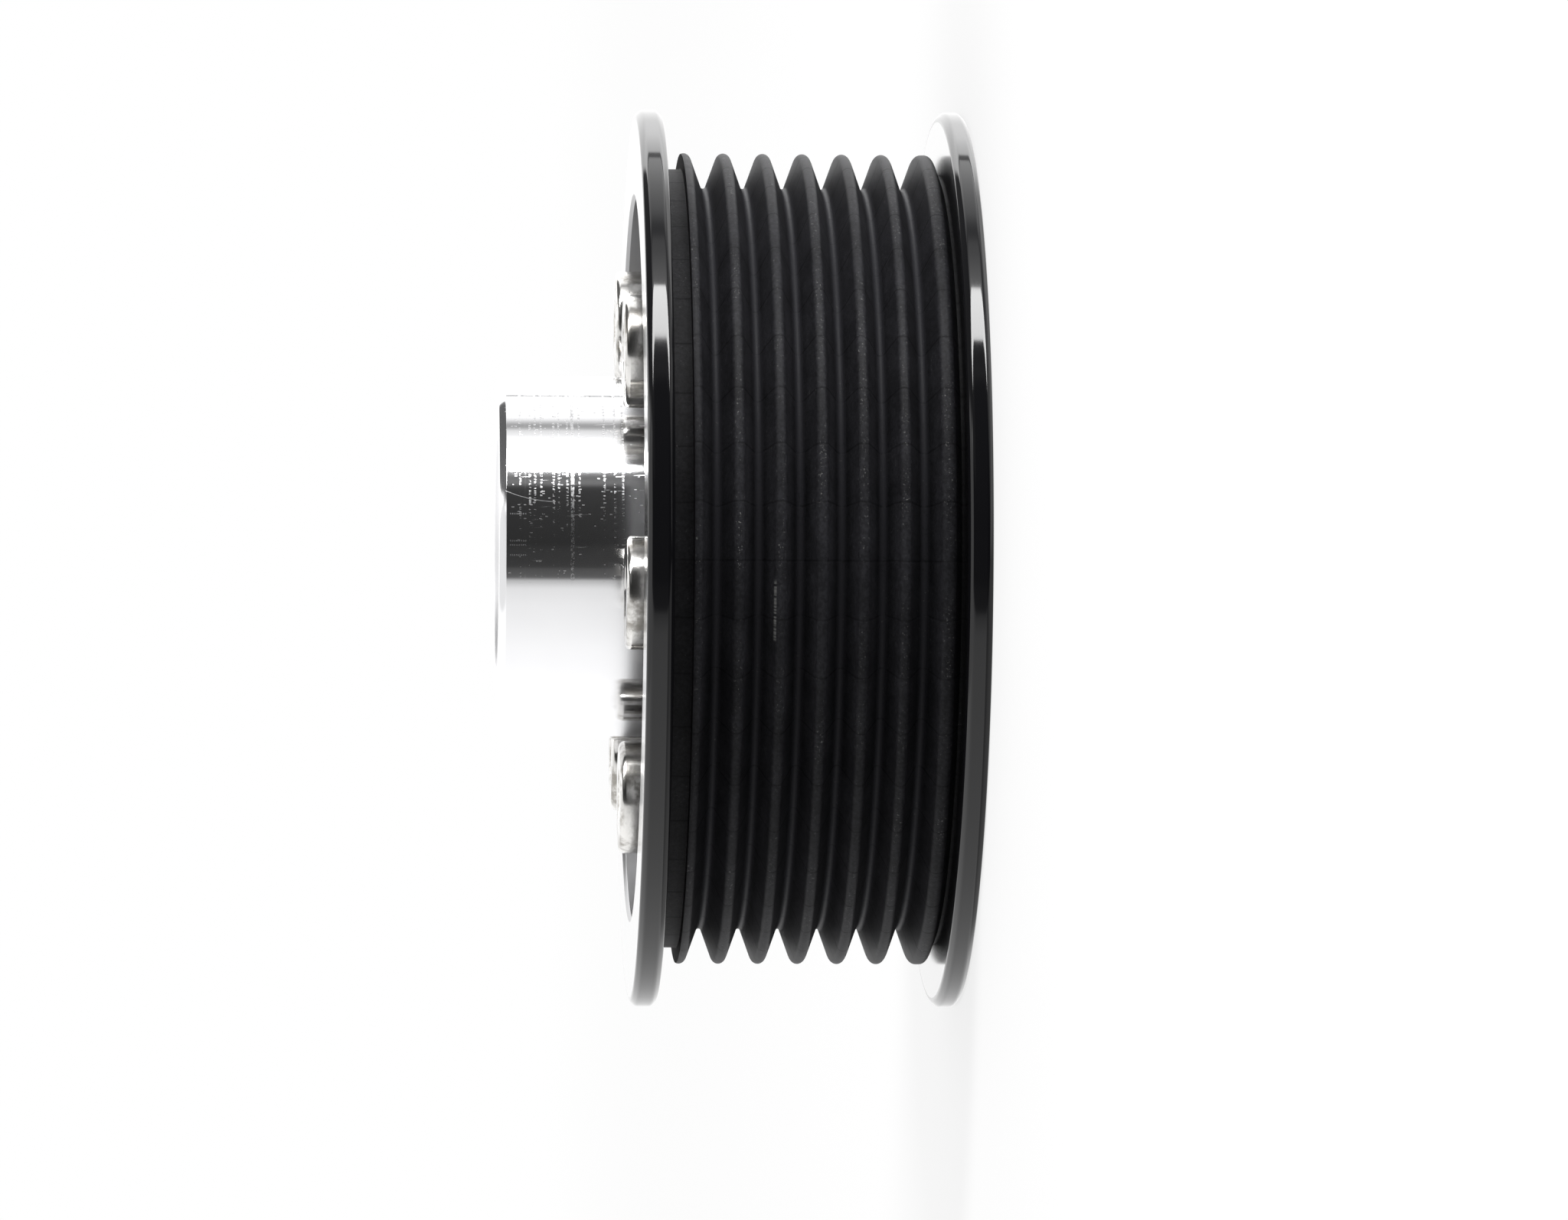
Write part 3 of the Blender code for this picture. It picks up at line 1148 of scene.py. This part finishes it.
def loft(bm: bmesh.types.BMesh, rings: list[list[Vector]], tip: Vector | None = None) -> None:
    """Skins a stack of rings and closes its ends.

    Args:
        bm: The mesh to add to.
        rings: Rings with one count of points, each a closed loop.
        tip: Where the last ring is drawn together, if it isn't capped flat.
    """
    loops = [[bm.verts.new(point * MM) for point in ring] for ring in rings]
    count = len(loops[0])
    for lower, upper in zip(loops, loops[1:]):
        for i in range(count):
            bm.faces.new((lower[i - 1], lower[i], upper[i], upper[i - 1]))
    bm.faces.new(reversed(loops[0]))
    if tip is None:
        bm.faces.new(loops[-1])
        return
    apex = bm.verts.new(tip * MM)
    for i in range(count):
        bm.faces.new((loops[-1][i - 1], loops[-1][i], apex))


def put(name: str, mesh: bpy.types.Mesh, sharp: float = 28.0) -> bpy.types.Object:
    """Puts a mesh in the scene, shaded smooth with its sharp edges kept.

    Args:
        name: Name of the object.
        mesh: Its mesh, with its materials.
        sharp: Angle in degrees past which an edge is sharp.

    Returns:
        The object.
    """
    mesh.shade_smooth()
    mesh.set_sharp_from_angle(angle=math.radians(sharp))
    item = link(name, mesh)
    even = item.modifiers.new("even_shading", "WEIGHTED_NORMAL")
    even.keep_sharp = True
    return item


def cut(mesh: bpy.types.Mesh, cutters: bmesh.types.BMesh, slot: int) -> bpy.types.Mesh:
    """Cuts shapes out of a mesh.

    Args:
        mesh: The mesh to cut.
        cutters: Closed shapes to take away.
        slot: Material slot of the cut faces.

    Returns:
        The cut mesh.
    """
    bmesh.ops.recalc_face_normals(cutters, faces=cutters.faces)
    for face in cutters.faces:
        face.material_index = slot
    tool_mesh = bpy.data.meshes.new("tool")
    cutters.to_mesh(tool_mesh)
    cutters.free()
    for material in mesh.materials:
        tool_mesh.materials.append(material)
    tool = link("tool", tool_mesh)
    blank = link("blank", mesh)
    step = blank.modifiers.new("cut", "BOOLEAN")
    step.operation = "DIFFERENCE"
    step.solver = "EXACT"
    step.object = tool
    graph = bpy.context.evaluated_depsgraph_get()
    result = bpy.data.meshes.new_from_object(blank.evaluated_get(graph))
    for item in (tool, blank):
        bpy.data.objects.remove(item, do_unlink=True)
    return result


def circle(radius: float, height: float, steps: int, centre: Vector | None = None) -> list[Vector]:
    """A ring of points.

    Args:
        radius: Its radius.
        height: Its height.
        steps: Number of points.
        centre: Centre in plan, or none for the axis.

    Returns:
        The points.
    """
    middle = centre if centre is not None else Vector((0.0, 0.0, 0.0))
    angles = [FULL_TURN * step / steps for step in range(steps)]
    return [middle + Vector((radius * math.cos(a), radius * math.sin(a), height)) for a in angles]


def declare(item: bpy.types.Object, slot: str, *nodes: str) -> None:
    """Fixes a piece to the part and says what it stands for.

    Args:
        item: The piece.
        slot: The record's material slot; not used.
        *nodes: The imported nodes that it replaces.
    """
    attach(item, "root")
    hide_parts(*nodes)
    LOG.info("%s stands for %s, %d faces", item.name, ", ".join(nodes), len(item.data.polygons))


@dataclass
class CapScrews:
    """Low-head cap screws with hexagon sockets and rolled threads."""

    count: int = 6
    steps: int = 48
    shank_radius: float = 3.0
    shank_play: float = 0.02
    shank_plain: float = 1.5
    thread_pitch: float = 1.0
    thread_depth: float = 0.5
    thread_steps: int = 8
    tip_chamfer: float = 0.6
    tip_blunt: float = 0.2
    head_height: float = 4.0
    head_rounding: float = 0.55
    head_steps: int = 6
    foot_rounding: float = 0.2
    foot_steps: int = 3
    socket_flats: float = 4.0
    socket_depth: float = 2.2
    socket_chamfer: float = 0.25
    socket_flare: float = 0.3
    socket_flare_drop: float = 0.04
    socket_cone: float = 0.8
    socket_turn_step: float = 23.0

    def names(self) -> list[str]:
        """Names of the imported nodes."""
        return [f"cap_screw_{index + 1}" for index in range(self.count)]

    def centre(self, name: str) -> Vector:
        """Centre of a screw in plan, in millimetres."""
        low, high = box_mm(name)
        middle = (low + high) / 2.0
        return Vector((middle.x, middle.y, 0.0))

    def shank(self, tip: float, seat: float) -> list[list[Vector]]:
        """Rings of the threaded shank.

        Args:
            tip: Height of its lower end.
            seat: Height of the head's underside.

        Returns:
            The rings from the tip up.
        """
        blank = self.shank_radius - self.shank_play
        rings = [circle(self.shank_radius - self.tip_chamfer - self.tip_blunt, tip, self.steps)]
        length = seat - self.shank_plain - tip - self.tip_chamfer
        total = int(length / self.thread_pitch * self.thread_steps)
        for index in range(total + 1):
            height = tip + self.tip_chamfer + index * self.thread_pitch / self.thread_steps
            fade = min(1.0, index / self.thread_steps, (total - index) / self.thread_steps)
            ring = []
            for step in range(self.steps):
                share = step / self.steps
                phase = (height / self.thread_pitch - share) % 1.0
                cut_in = abs(phase - 0.5) * 2.0
                radius = blank - self.thread_depth * fade * cut_in
                angle = FULL_TURN * share
                ring.append(Vector((radius * math.cos(angle), radius * math.sin(angle), height)))
            rings.append(ring)
        rings.append(circle(blank, seat, self.steps))
        return rings

    def hexagon(self, flats: float, height: float) -> list[Vector]:
        """A hexagon with as many points as the other rings.

        Args:
            flats: Width across its flats.
            height: Its height.

        Returns:
            The points.
        """
        points = []
        for step in range(self.steps):
            angle = FULL_TURN * step / self.steps
            from_flat = (angle + FULL_TURN / 12.0) % (FULL_TURN / 6.0) - FULL_TURN / 12.0
            reach = flats / 2.0 / math.cos(from_flat)
            points.append(Vector((reach * math.cos(angle), reach * math.sin(angle), height)))
        return points

    def head(self, radius: float, seat: float, top: float) -> list[list[Vector]]:
        """Rings of the head, from its underside over its edge and down the socket.

        Args:
            radius: The head's radius.
            seat: Height of its underside.
            top: Height of its top.

        Returns:
            The rings in order.
        """
        foot = arc_corners((radius - self.foot_rounding, seat + self.foot_rounding), self.foot_rounding,
                           -math.pi / 2.0, 0.0, self.foot_steps, Surface.FACE)
        edge = arc_corners((radius - self.head_rounding, top - self.head_rounding), self.head_rounding,
                           0.0, math.pi / 2.0, self.head_steps, Surface.FACE)
        rings = [circle(corner.radius, corner.height, self.steps) for corner in foot + edge]
        mouth = self.socket_flats + 2.0 * self.socket_chamfer
        return rings + [
            self.hexagon(mouth + self.socket_flare, top),
            self.hexagon(mouth, top - self.socket_flare_drop),
            self.hexagon(self.socket_flats, top - self.socket_chamfer),
            self.hexagon(self.socket_flats, top - self.socket_depth),
        ]

    def build(self, plated: bpy.types.Material) -> None:
        """Builds one piece for each packed screw.

        Args:
            plated: Their material.
        """
        for index, name in enumerate(self.names()):
            low, high = box_mm(name)
            seat = high.z - self.head_height
            radius = max(high.x - low.x, high.y - low.y) / 2.0
            bm = bmesh.new()
            rings = self.shank(low.z, seat) + self.head(radius, seat, high.z)
            loft(bm, rings, Vector((0.0, 0.0, high.z - self.socket_depth - self.socket_cone)))
            centre = self.centre(name)
            turn = math.atan2(centre.x, -centre.y) + math.radians(self.socket_turn_step * index)
            placed = Matrix.Translation(centre * MM) @ Matrix.Rotation(turn, 4, "Z")
            bmesh.ops.transform(bm, verts=bm.verts, matrix=placed)
            bmesh.ops.recalc_face_normals(bm, faces=bm.faces)
            mesh = bpy.data.meshes.new(f"plated_screw_{index + 1}")
            bm.to_mesh(mesh)
            bm.free()
            mesh.materials.append(plated)
            declare(put(mesh.name, mesh), "plated_steel", name)


@dataclass
class BeltRing:
    """The black ring: flanges, ribs, recess, web and rear cup, turned in one piece."""

    steps: int = 288
    groove_count: int = 6
    groove_pitch: float = 3.56
    groove_angle: float = 40.0
    crest_round: float = 0.55
    crest_steps: int = 10
    first_crest_steps: int = 7
    last_crest_steps: int = 5
    root_round: float = 0.35
    root_steps: int = 8
    crest_cut: float = 0.25
    relief_depth: float = 1.45
    rear_gap: float = 1.48
    rear_land: float = 0.29
    rear_gap_floor: float = 0.15
    rear_flange: float = 2.15
    front_flange: float = 2.35
    flange_height: float = 3.85
    flange_chamfer: float = 0.5
    chamfer_round: float = 0.5
    face_inset: float = 0.35
    relief_edge: Rounding = (0.12, 3)
    recess_depth: float = 3.0
    recess_wall: float = 2.55
    recess_chamfer: float = 0.3
    recess_fillet: Rounding = (0.5, 5)
    recess_edge: Rounding = (0.08, 2)
    plain_edge: Rounding = (0.1, 2)
    web_thickness: float = 6.0
    rim_wall: float = 3.95
    cup_chamfer: float = 0.6
    cup_fillet: Rounding = (1.5, 6)
    web_hole_radius: float = 16.65
    web_hole_chamfer: float = 0.4
    screw_hole_radius: float = 3.3
    screw_hole_lead: float = 0.3
    drill_steps: int = 40
    drill_margin: float = 1.0

    def __post_init__(self) -> None:
        """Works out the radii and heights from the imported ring's box."""
        low, high = box_mm("pulley_ring")
        self.top = high.z
        self.outer_radius = (high.x - low.x) / 2.0
        self.face_radius = self.outer_radius - self.flange_chamfer - self.face_inset
        self.flank = math.radians(self.groove_angle) / 2.0
        blunt = 1.0 / math.sin(self.flank) - 1.0
        self.crest_radius = self.outer_radius - self.flange_height
        self.crest_apex = self.crest_radius + self.crest_round * blunt
        self.root_apex = self.crest_apex - self.groove_pitch / 2.0 / math.tan(self.flank)
        self.root_radius = self.root_apex + self.root_round * blunt
        self.relief_radius = self.crest_radius - self.relief_depth
        self.recess_radius = self.relief_radius - self.recess_wall
        self.cup_radius = self.root_radius - self.rim_wall
        self.last_crest = self.rear_flange + self.rear_gap
        self.first_crest = self.last_crest + self.groove_count * self.groove_pitch
        self.relief_bottom = self.first_crest + self.crest_cut
        self.web_front = self.top - self.recess_depth
        self.web_back = self.web_front - self.web_thickness

    def flange(self, top: float, bottom: float) -> list[Corner]:
        """Outer edge of a flange.

        Args:
            top: Height of its upper face.
            bottom: Height of its lower face.

        Returns:
            Its four corners, downwards.
        """
        inner, chamfer = self.outer_radius - self.flange_chamfer, self.flange_chamfer
        places = ((inner, top), (self.outer_radius, top - chamfer),
                  (self.outer_radius, bottom + chamfer), (inner, bottom))
        return [Corner(radius, height, Surface.RIM, self.chamfer_round) for radius, height in places]

    def ribs(self) -> list[Corner]:
        """The belt bed between the flanges.

        Returns:
            Its corners, downwards.
        """
        groove = Surface.GROOVE
        inner_face = self.top - self.front_flange
        lean = math.pi / 2.0 - self.flank
        centre = self.crest_radius - self.crest_round
        corners = [
            Corner(self.face_radius, inner_face, Surface.FACE),
            Corner(self.relief_radius, inner_face, Surface.RELIEF, *self.relief_edge),
            Corner(self.relief_radius, self.relief_bottom, Surface.RELIEF, *self.relief_edge),
        ]
        cut_angle = math.asin(self.crest_cut / self.crest_round)
        corners += arc_corners(
            (centre, self.first_crest), self.crest_round, cut_angle, -lean, self.first_crest_steps, groove)
        for index in range(self.groove_count):
            root = self.first_crest - (index + 0.5) * self.groove_pitch
            corners.append(Corner(self.root_apex, root, groove, self.root_round, self.root_steps))
            if index < self.groove_count - 1:
                crest = self.first_crest - (index + 1) * self.groove_pitch
                corners.append(Corner(self.crest_apex, crest, groove, self.crest_round, self.crest_steps))
        land = self.last_crest - self.rear_land
        steps = self.last_crest_steps
        corners += arc_corners((centre, self.last_crest), self.crest_round, lean, 0.0, steps, groove)
        corners += arc_corners((centre, land), self.crest_round, 0.0, -lean, steps, groove)
        drop = corners[-1].height - self.rear_flange - self.rear_gap_floor
        floor = corners[-1].radius - drop / math.tan(self.flank)
        corners.append(Corner(floor, self.rear_flange + self.rear_gap_floor, Surface.RELIEF))
        corners.append(Corner(floor, self.rear_flange, Surface.FACE))
        corners.append(Corner(self.face_radius, self.rear_flange, Surface.RIM))
        return corners

    def inside(self) -> list[Corner]:
        """Cup, web and recess, from the rear face back up to the front face.

        Returns:
            Their corners.
        """
        face, wall = Surface.FACE, Surface.WALL
        hole = self.web_hole_radius
        chamfer = self.web_hole_chamfer
        return [
            Corner(self.face_radius, 0.0, face),
            Corner(self.cup_radius + self.cup_chamfer, 0.0, face, *self.plain_edge),
            Corner(self.cup_radius, self.cup_chamfer, face, *self.plain_edge),
            Corner(self.cup_radius, self.web_back, face, *self.cup_fillet),
            Corner(hole + chamfer, self.web_back, face),
            Corner(hole, self.web_back + chamfer, face),
            Corner(hole, self.web_front - chamfer, face),
            Corner(hole + chamfer, self.web_front, face, *self.plain_edge),
            Corner(self.recess_radius, self.web_front, wall, *self.recess_fillet),
            Corner(self.recess_radius, self.top - self.recess_chamfer, wall, *self.recess_edge),
            Corner(self.recess_radius + self.recess_chamfer, self.top, face, *self.recess_edge),
            Corner(self.face_radius, self.top, Surface.RIM),
        ]

    def build(self, materials: list[bpy.types.Material], screws: CapScrews) -> None:
        """Builds the ring.

        Args:
            materials: One material for each kind of surface, in the order of their slots.
            screws: The screws whose holes it has.
        """
        corners = self.flange(self.top, self.top - self.front_flange)
        corners += self.ribs()
        corners += self.flange(self.rear_flange, 0.0)
        corners += self.inside()
        mesh = lathe("black_belt_ring", trace(corners), self.steps, materials)
        drills = bmesh.new()
        radius, lead, margin = self.screw_hole_radius, self.screw_hole_lead, self.drill_margin
        for name in screws.names():
            centre = screws.centre(name)
            stations = ((radius, self.web_back - margin), (radius, self.web_front - lead),
                        (radius + lead + margin, self.web_front + margin))
            loft(drills, [circle(wide, height, self.drill_steps, centre) for wide, height in stations])
        piece = put("black_belt_ring", cut(mesh, drills, Surface.FACE.value))
        declare(piece, "black_anodised", "pulley_ring")


@dataclass
class Hub:
    """The bright hub: bored boss and tapped bolting flange."""

    steps: int = 240
    boss_radius: float = 16.35
    boss_chamfer: float = 0.6
    bore_radius: float = 10.0
    bore_chamfer: float = 0.8
    flange_thickness: float = 6.5
    front_chamfer: float = 1.5
    back_chamfer: float = 0.5
    broken_edge: Rounding = (0.06, 2)
    thread_pitch: float = 1.0
    thread_depth: float = 0.18
    thread_steps: int = 8
    tap_radius: float = 3.3
    tap_steps: int = 36
    tap_margin: float = 1.0
    countersink: float = 0.5

    def __post_init__(self) -> None:
        """Works out heights and the flange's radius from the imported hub's box."""
        low, high = box_mm("hub")
        self.back = low.z
        self.top = high.z
        self.front = self.back + self.flange_thickness
        self.flange_radius = (high.x - low.x) / 2.0

    def outline(self) -> list[Corner]:
        """Half section of the hub.

        Returns:
            Its corners, down the outside and up the bore.
        """
        face = Surface.RIM
        boss, bore, rim = self.boss_radius, self.bore_radius, self.flange_radius
        return [
            Corner(boss - self.boss_chamfer, self.top, face, *self.broken_edge),
            Corner(boss, self.top - self.boss_chamfer, face, *self.broken_edge),
            Corner(boss, self.front, face),
            Corner(rim - self.front_chamfer, self.front, face),
            Corner(rim, self.front - self.front_chamfer, face),
            Corner(rim, self.back + self.back_chamfer, face, *self.broken_edge),
            Corner(rim - self.back_chamfer, self.back, face, *self.broken_edge),
            Corner(bore + self.bore_chamfer, self.back, face, *self.broken_edge),
            Corner(bore, self.back + self.bore_chamfer, face, *self.broken_edge),
            Corner(bore, self.top - self.bore_chamfer, Surface.WALL, *self.broken_edge),
            Corner(bore + self.bore_chamfer, self.top, face, *self.broken_edge),
        ]

    def tap(self, centre: Vector) -> list[list[Vector]]:
        """Rings of one tapped hole, with a countersink at each end.

        Args:
            centre: The hole's centre in plan.

        Returns:
            The rings from below the flange to above it.
        """
        steps = self.tap_steps
        mouth = self.tap_radius + self.countersink + self.tap_margin
        rings = [circle(mouth, self.back - self.tap_margin, steps, centre)]
        start, end = self.back + self.countersink, self.front - self.countersink
        total = int((end - start) / self.thread_pitch * self.thread_steps)
        for index in range(total + 1):
            height = start + (end - start) * index / total
            fade = min(1.0, index / self.thread_steps, (total - index) / self.thread_steps)
            ring = []
            for step in range(steps):
                share = step / steps
                phase = (height / self.thread_pitch - share) % 1.0
                radius = self.tap_radius - self.thread_depth * fade * (0.5 - abs(phase - 0.5))
                angle = FULL_TURN * share
                ring.append(centre + Vector((radius * math.cos(angle), radius * math.sin(angle), height)))
            rings.append(ring)
        rings.append(circle(mouth, self.front + self.tap_margin, steps, centre))
        return rings

    def build(self, materials: list[bpy.types.Material], screws: CapScrews) -> None:
        """Builds the hub.

        Args:
            materials: The outer and the bored surfaces' materials.
            screws: The screws that it is tapped for.
        """
        mesh = lathe("bright_hub", trace(self.outline()), self.steps, materials)
        taps = bmesh.new()
        for name in screws.names():
            loft(taps, self.tap(screws.centre(name)))
        piece = put("bright_hub", cut(mesh, taps, len(materials) - 1))
        declare(piece, "turned_aluminium", "hub")


@dataclass
class Studio:
    """A white room with one long softbox, dark behind the camera, and a pale floor.

    Turns are about the pulley's axis in degrees, from the camera's side towards the top of the
    picture. The edges of the card, the dim low end, the bright far end and the backdrop are
    coordinates of the direction, from -1 to 1. Lengths are in metres.
    """

    floor_radius: float = 12.0
    floor_steps: int = 96
    floor_tone: float = 0.84
    floor_roughness: float = 0.9
    floor_gloss: float = 0.1
    floor_fade: Span = (0.1, 1.6)
    floor_shares: Span = (0.75, 1.0)
    softbox_turn: float = 64.0
    softbox_distance: float = 1.1
    softbox_width: float = 0.3
    softbox_length: float = 2.6
    softbox_glow: float = 15.5
    card_level: float = 0.13
    card_side: Span = (0.28, 0.32)
    card_bottom: Span = (0.47, 0.505)
    card_top: Span = (0.92, 0.95)
    low_share: float = 0.4
    low_edge: Span = (-0.6, -0.45)
    end_level: float = 0.92
    end_edge: Span = (0.945, 0.96)
    gap_turn: float = 125.1
    gap_half: float = 1.0
    gap_share: float = 0.25
    backdrop_edge: Span = (0.75, 0.85)

    @staticmethod
    def surround() -> list[Point]:
        """How bright the room is in each direction round the axis.

        Returns:
            Pairs of turn in degrees and brightness.
        """
        return [
            (-180.0, 1.15), (-95.0, 1.25), (-60.0, 1.15), (-30.0, 0.98),
            (-19.0, 0.88), (-15.5, 0.62), (-13.6, 0.5), (-12.6, 0.12),
            (-6.8, 0.085), (-5.6, 0.05), (-2.0, 0.044), (5.0, 0.04),
            (9.0, 0.03), (28.0, 0.036), (43.0, 0.045), (46.0, 0.06),
            (47.0, 0.2), (50.0, 0.2), (51.5, 0.14), (56.0, 0.25),
            (74.0, 2.0), (84.0, 1.04), (88.0, 0.9), (90.5, 0.42),
            (93.5, 0.42), (99.5, 1.2), (118.0, 2.05), (124.5, 2.1),
            (127.0, 3.3), (138.0, 3.2), (151.0, 2.1), (180.0, 1.15),
        ]

    def world(self) -> None:
        """Sets the room up as the world: white to the camera, shaped by direction otherwise."""
        world = bpy.data.worlds.new("white_room")
        bpy.context.scene.world = world
        world.use_nodes = True
        graph = Graph(world.node_tree)
        background = world.node_tree.nodes["Background"]
        split = graph.add("ShaderNodeSeparateXYZ")
        graph.feed(split.inputs[0], graph.add("ShaderNodeTexCoord").outputs["Generated"])
        x, y, z = split.outputs
        turn = graph.math("ARCTAN2", x, graph.times(y, -1.0))
        share = graph.plus(graph.over(turn, FULL_TURN), 0.5)
        ramp = graph.add("ShaderNodeValToRGB")
        stops = self.surround()
        peak = max(level for _, level in stops)
        elements = ramp.color_ramp.elements
        while len(elements) < len(stops):
            elements.new(0.5)
        for element, (angle, level) in zip(elements, stops):
            element.position = (angle + 180.0) / 360.0
            element.color = opaque((level / peak,) * 3)
        graph.feed(ramp.inputs[0], share)
        rays = graph.add("ShaderNodeLightPath")
        level = graph.times(ramp.outputs["Color"], peak)
        beside = graph.apart(share, 0.5 + self.gap_turn / 360.0)
        half = self.gap_half / 360.0
        level = graph.times(level, graph.spread(beside, half, 2.0 * half, (self.gap_share, 1.0)))
        level = graph.blend(graph.spread(z, *self.end_edge), level, self.end_level)
        card = graph.times(graph.spread(x, *self.card_side), graph.spread(z, *self.card_bottom),
                           graph.fade(z, *self.card_top))
        level = graph.blend(card, level, self.card_level)
        level = graph.times(level, graph.spread(z, *self.low_edge, (self.low_share, 1.0)))
        mirrored = graph.plus(rays.outputs["Is Glossy Ray"], rays.outputs["Is Transmission Ray"])
        behind = graph.times(mirrored, graph.spread(y, *self.backdrop_edge))
        level = graph.blend(behind, level, graph.highest(level, 1.0))
        seen = graph.blend(rays.outputs["Is Camera Ray"], level, 1.0)
        background.inputs["Color"].default_value = WHITE
        graph.feed(background.inputs["Strength"], seen)

    def softbox(self) -> None:
        """Hangs the softbox beside the camera's view, along the pulley's axis."""
        light = bpy.data.lights.new("softbox", "AREA")
        light.shape = "RECTANGLE"
        light.size = self.softbox_width
        light.size_y = self.softbox_length
        light.energy = self.softbox_glow * math.pi * self.softbox_width * self.softbox_length
        lamp = link("softbox", light)
        turn = math.radians(self.softbox_turn)
        away = Vector((math.sin(turn), -math.cos(turn), 0.0))
        lamp.location = away * self.softbox_distance
        up = Vector((0.0, 0.0, 1.0))
        side = up.cross(away)
        lamp.rotation_euler = Matrix((side, up, away)).transposed().to_euler()
        lamp.visible_camera = False

    def floor(self) -> None:
        """Lays the floor. Its far parts fade into the white room."""
        bm = bmesh.new()
        bmesh.ops.create_circle(bm, cap_ends=True, segments=self.floor_steps, radius=self.floor_radius)
        mesh = bpy.data.meshes.new("pale_floor")
        bm.to_mesh(mesh)
        bm.free()
        material = bpy.data.materials.new("pale_floor")
        material.use_nodes = True
        graph = Graph(material.node_tree)
        shader = material.node_tree.nodes["Principled BSDF"]
        shader.inputs["Base Color"].default_value = opaque((self.floor_tone,) * 3)
        shader.inputs["Roughness"].default_value = self.floor_roughness
        shader.inputs["Specular IOR Level"].default_value = self.floor_gloss
        glow = graph.add("ShaderNodeEmission")
        rays = graph.add("ShaderNodeLightPath")
        mix = graph.add("ShaderNodeMixShader")
        place = graph.add("ShaderNodeTexCoord").outputs["Object"]
        away = graph.add("ShaderNodeVectorMath", operation="LENGTH")
        graph.feed(away.inputs[0], place)
        share = graph.spread(away.outputs["Value"], *self.floor_fade, self.floor_shares)
        graph.feed(mix.inputs[0], graph.times(rays.outputs["Is Camera Ray"], share))
        graph.feed(mix.inputs[1], shader.outputs[0])
        graph.feed(mix.inputs[2], glow.outputs[0])
        output = next(node for node in material.node_tree.nodes if node.type == "OUTPUT_MATERIAL")
        graph.feed(output.inputs["Surface"], mix.outputs[0])
        mesh.materials.append(material)
        floor = link("pale_floor", mesh)
        floor.visible_glossy = False
        floor.visible_diffuse = False
        floor.visible_shadow = False

    def build(self) -> None:
        """Builds the whole studio."""
        self.world()
        self.softbox()
        self.floor()
        bpy.context.scene.view_settings.view_transform = "Standard"
        LOG.info("studio: floor, softbox and white room")


@dataclass
class ViewCamera:
    """The photograph's camera, turned on its side so that the axis runs across the picture.

    Heights are along the axis. The lean turns the view down along the axis, the nod turns it
    across, and the roll is about the line of sight.
    """

    distance: float = 640.0
    height: float = 52.0
    aside: float = 0.0
    lean: float = 3.26
    nod: float = -0.41
    roll: float = 0.35
    picture_width: float = 2048.0
    scale: float = 14.49
    sensor: float = 36.0
    far_limit: float = 100.0

    def build(self) -> None:
        """Places the camera."""
        data = bpy.data.cameras.new("view")
        data.sensor_width = self.sensor
        data.lens = self.scale * self.distance / self.picture_width * self.sensor
        data.clip_end = self.far_limit
        camera = link("view", data)
        camera.location = Vector((self.aside, -self.distance, self.height)) * MM
        right = Vector((0.0, 0.0, -1.0))
        up = Vector((1.0, 0.0, 0.0))
        upright = Matrix((right, up, right.cross(up))).transposed()
        lean = Matrix.Rotation(-math.radians(self.lean), 3, "Y")
        nod = Matrix.Rotation(math.radians(self.nod), 3, "X")
        roll = Matrix.Rotation(math.radians(self.roll), 3, "Z")
        camera.rotation_euler = (upright @ lean @ nod @ roll).to_euler()
        bpy.context.scene.camera = camera


def main() -> None:
    """Builds the pulley, the studio and the camera."""
    logging.basicConfig(level=logging.INFO, format="%(name)s: %(message)s")
    screws = CapScrews()
    ring = BeltRing()
    hub = Hub()
    rim = RimFinish("black_rim", (0.0035, 0.0035, 0.0042), 0.07)
    groove = GrooveFinish("blasted_grooves", (0.022, 0.0219, 0.0252), 0.5, gloss=0.09,
                          crest_radius=ring.crest_radius, root_radius=ring.root_radius)
    # painted shade: a darker copy of the groove finish for the sunken relief and the rear gap
    shaded_relief = GrooveFinish("blasted_relief_painted_shade", (0.018, 0.0179, 0.0203), 0.6, gloss=0.12,
                          crest_radius=ring.crest_radius, root_radius=ring.root_radius)
    face = FaceFinish("black_faces", (0.005, 0.005, 0.0055), 0.2, lacquer=1.0)
    turned = TurnedFinish("turned_metal", (0.86, 0.86, 0.87), 0.1, Coat.METAL, boss_radius=hub.boss_radius)
    plated = PlatedFinish("plated_metal", (0.74, 0.73, 0.71), 0.14, Coat.METAL)
    wall = FaceFinish("satin_wall", (0.32, 0.32, 0.325), 0.3, Coat.METAL, streak_gain=0.8)
    ring.build([rim.build(), groove.build(), face.build(), shaded_relief.build(), wall.build()], screws)
    bored = FaceFinish("bored_metal", (0.8, 0.8, 0.81), 0.4, Coat.METAL, streak_gain=0.8)
    hub.build([turned.build(), bored.build()], screws)
    screws.build(plated.build())
    Studio().build()
    ViewCamera().build()


if __name__ == "__main__":
    main()
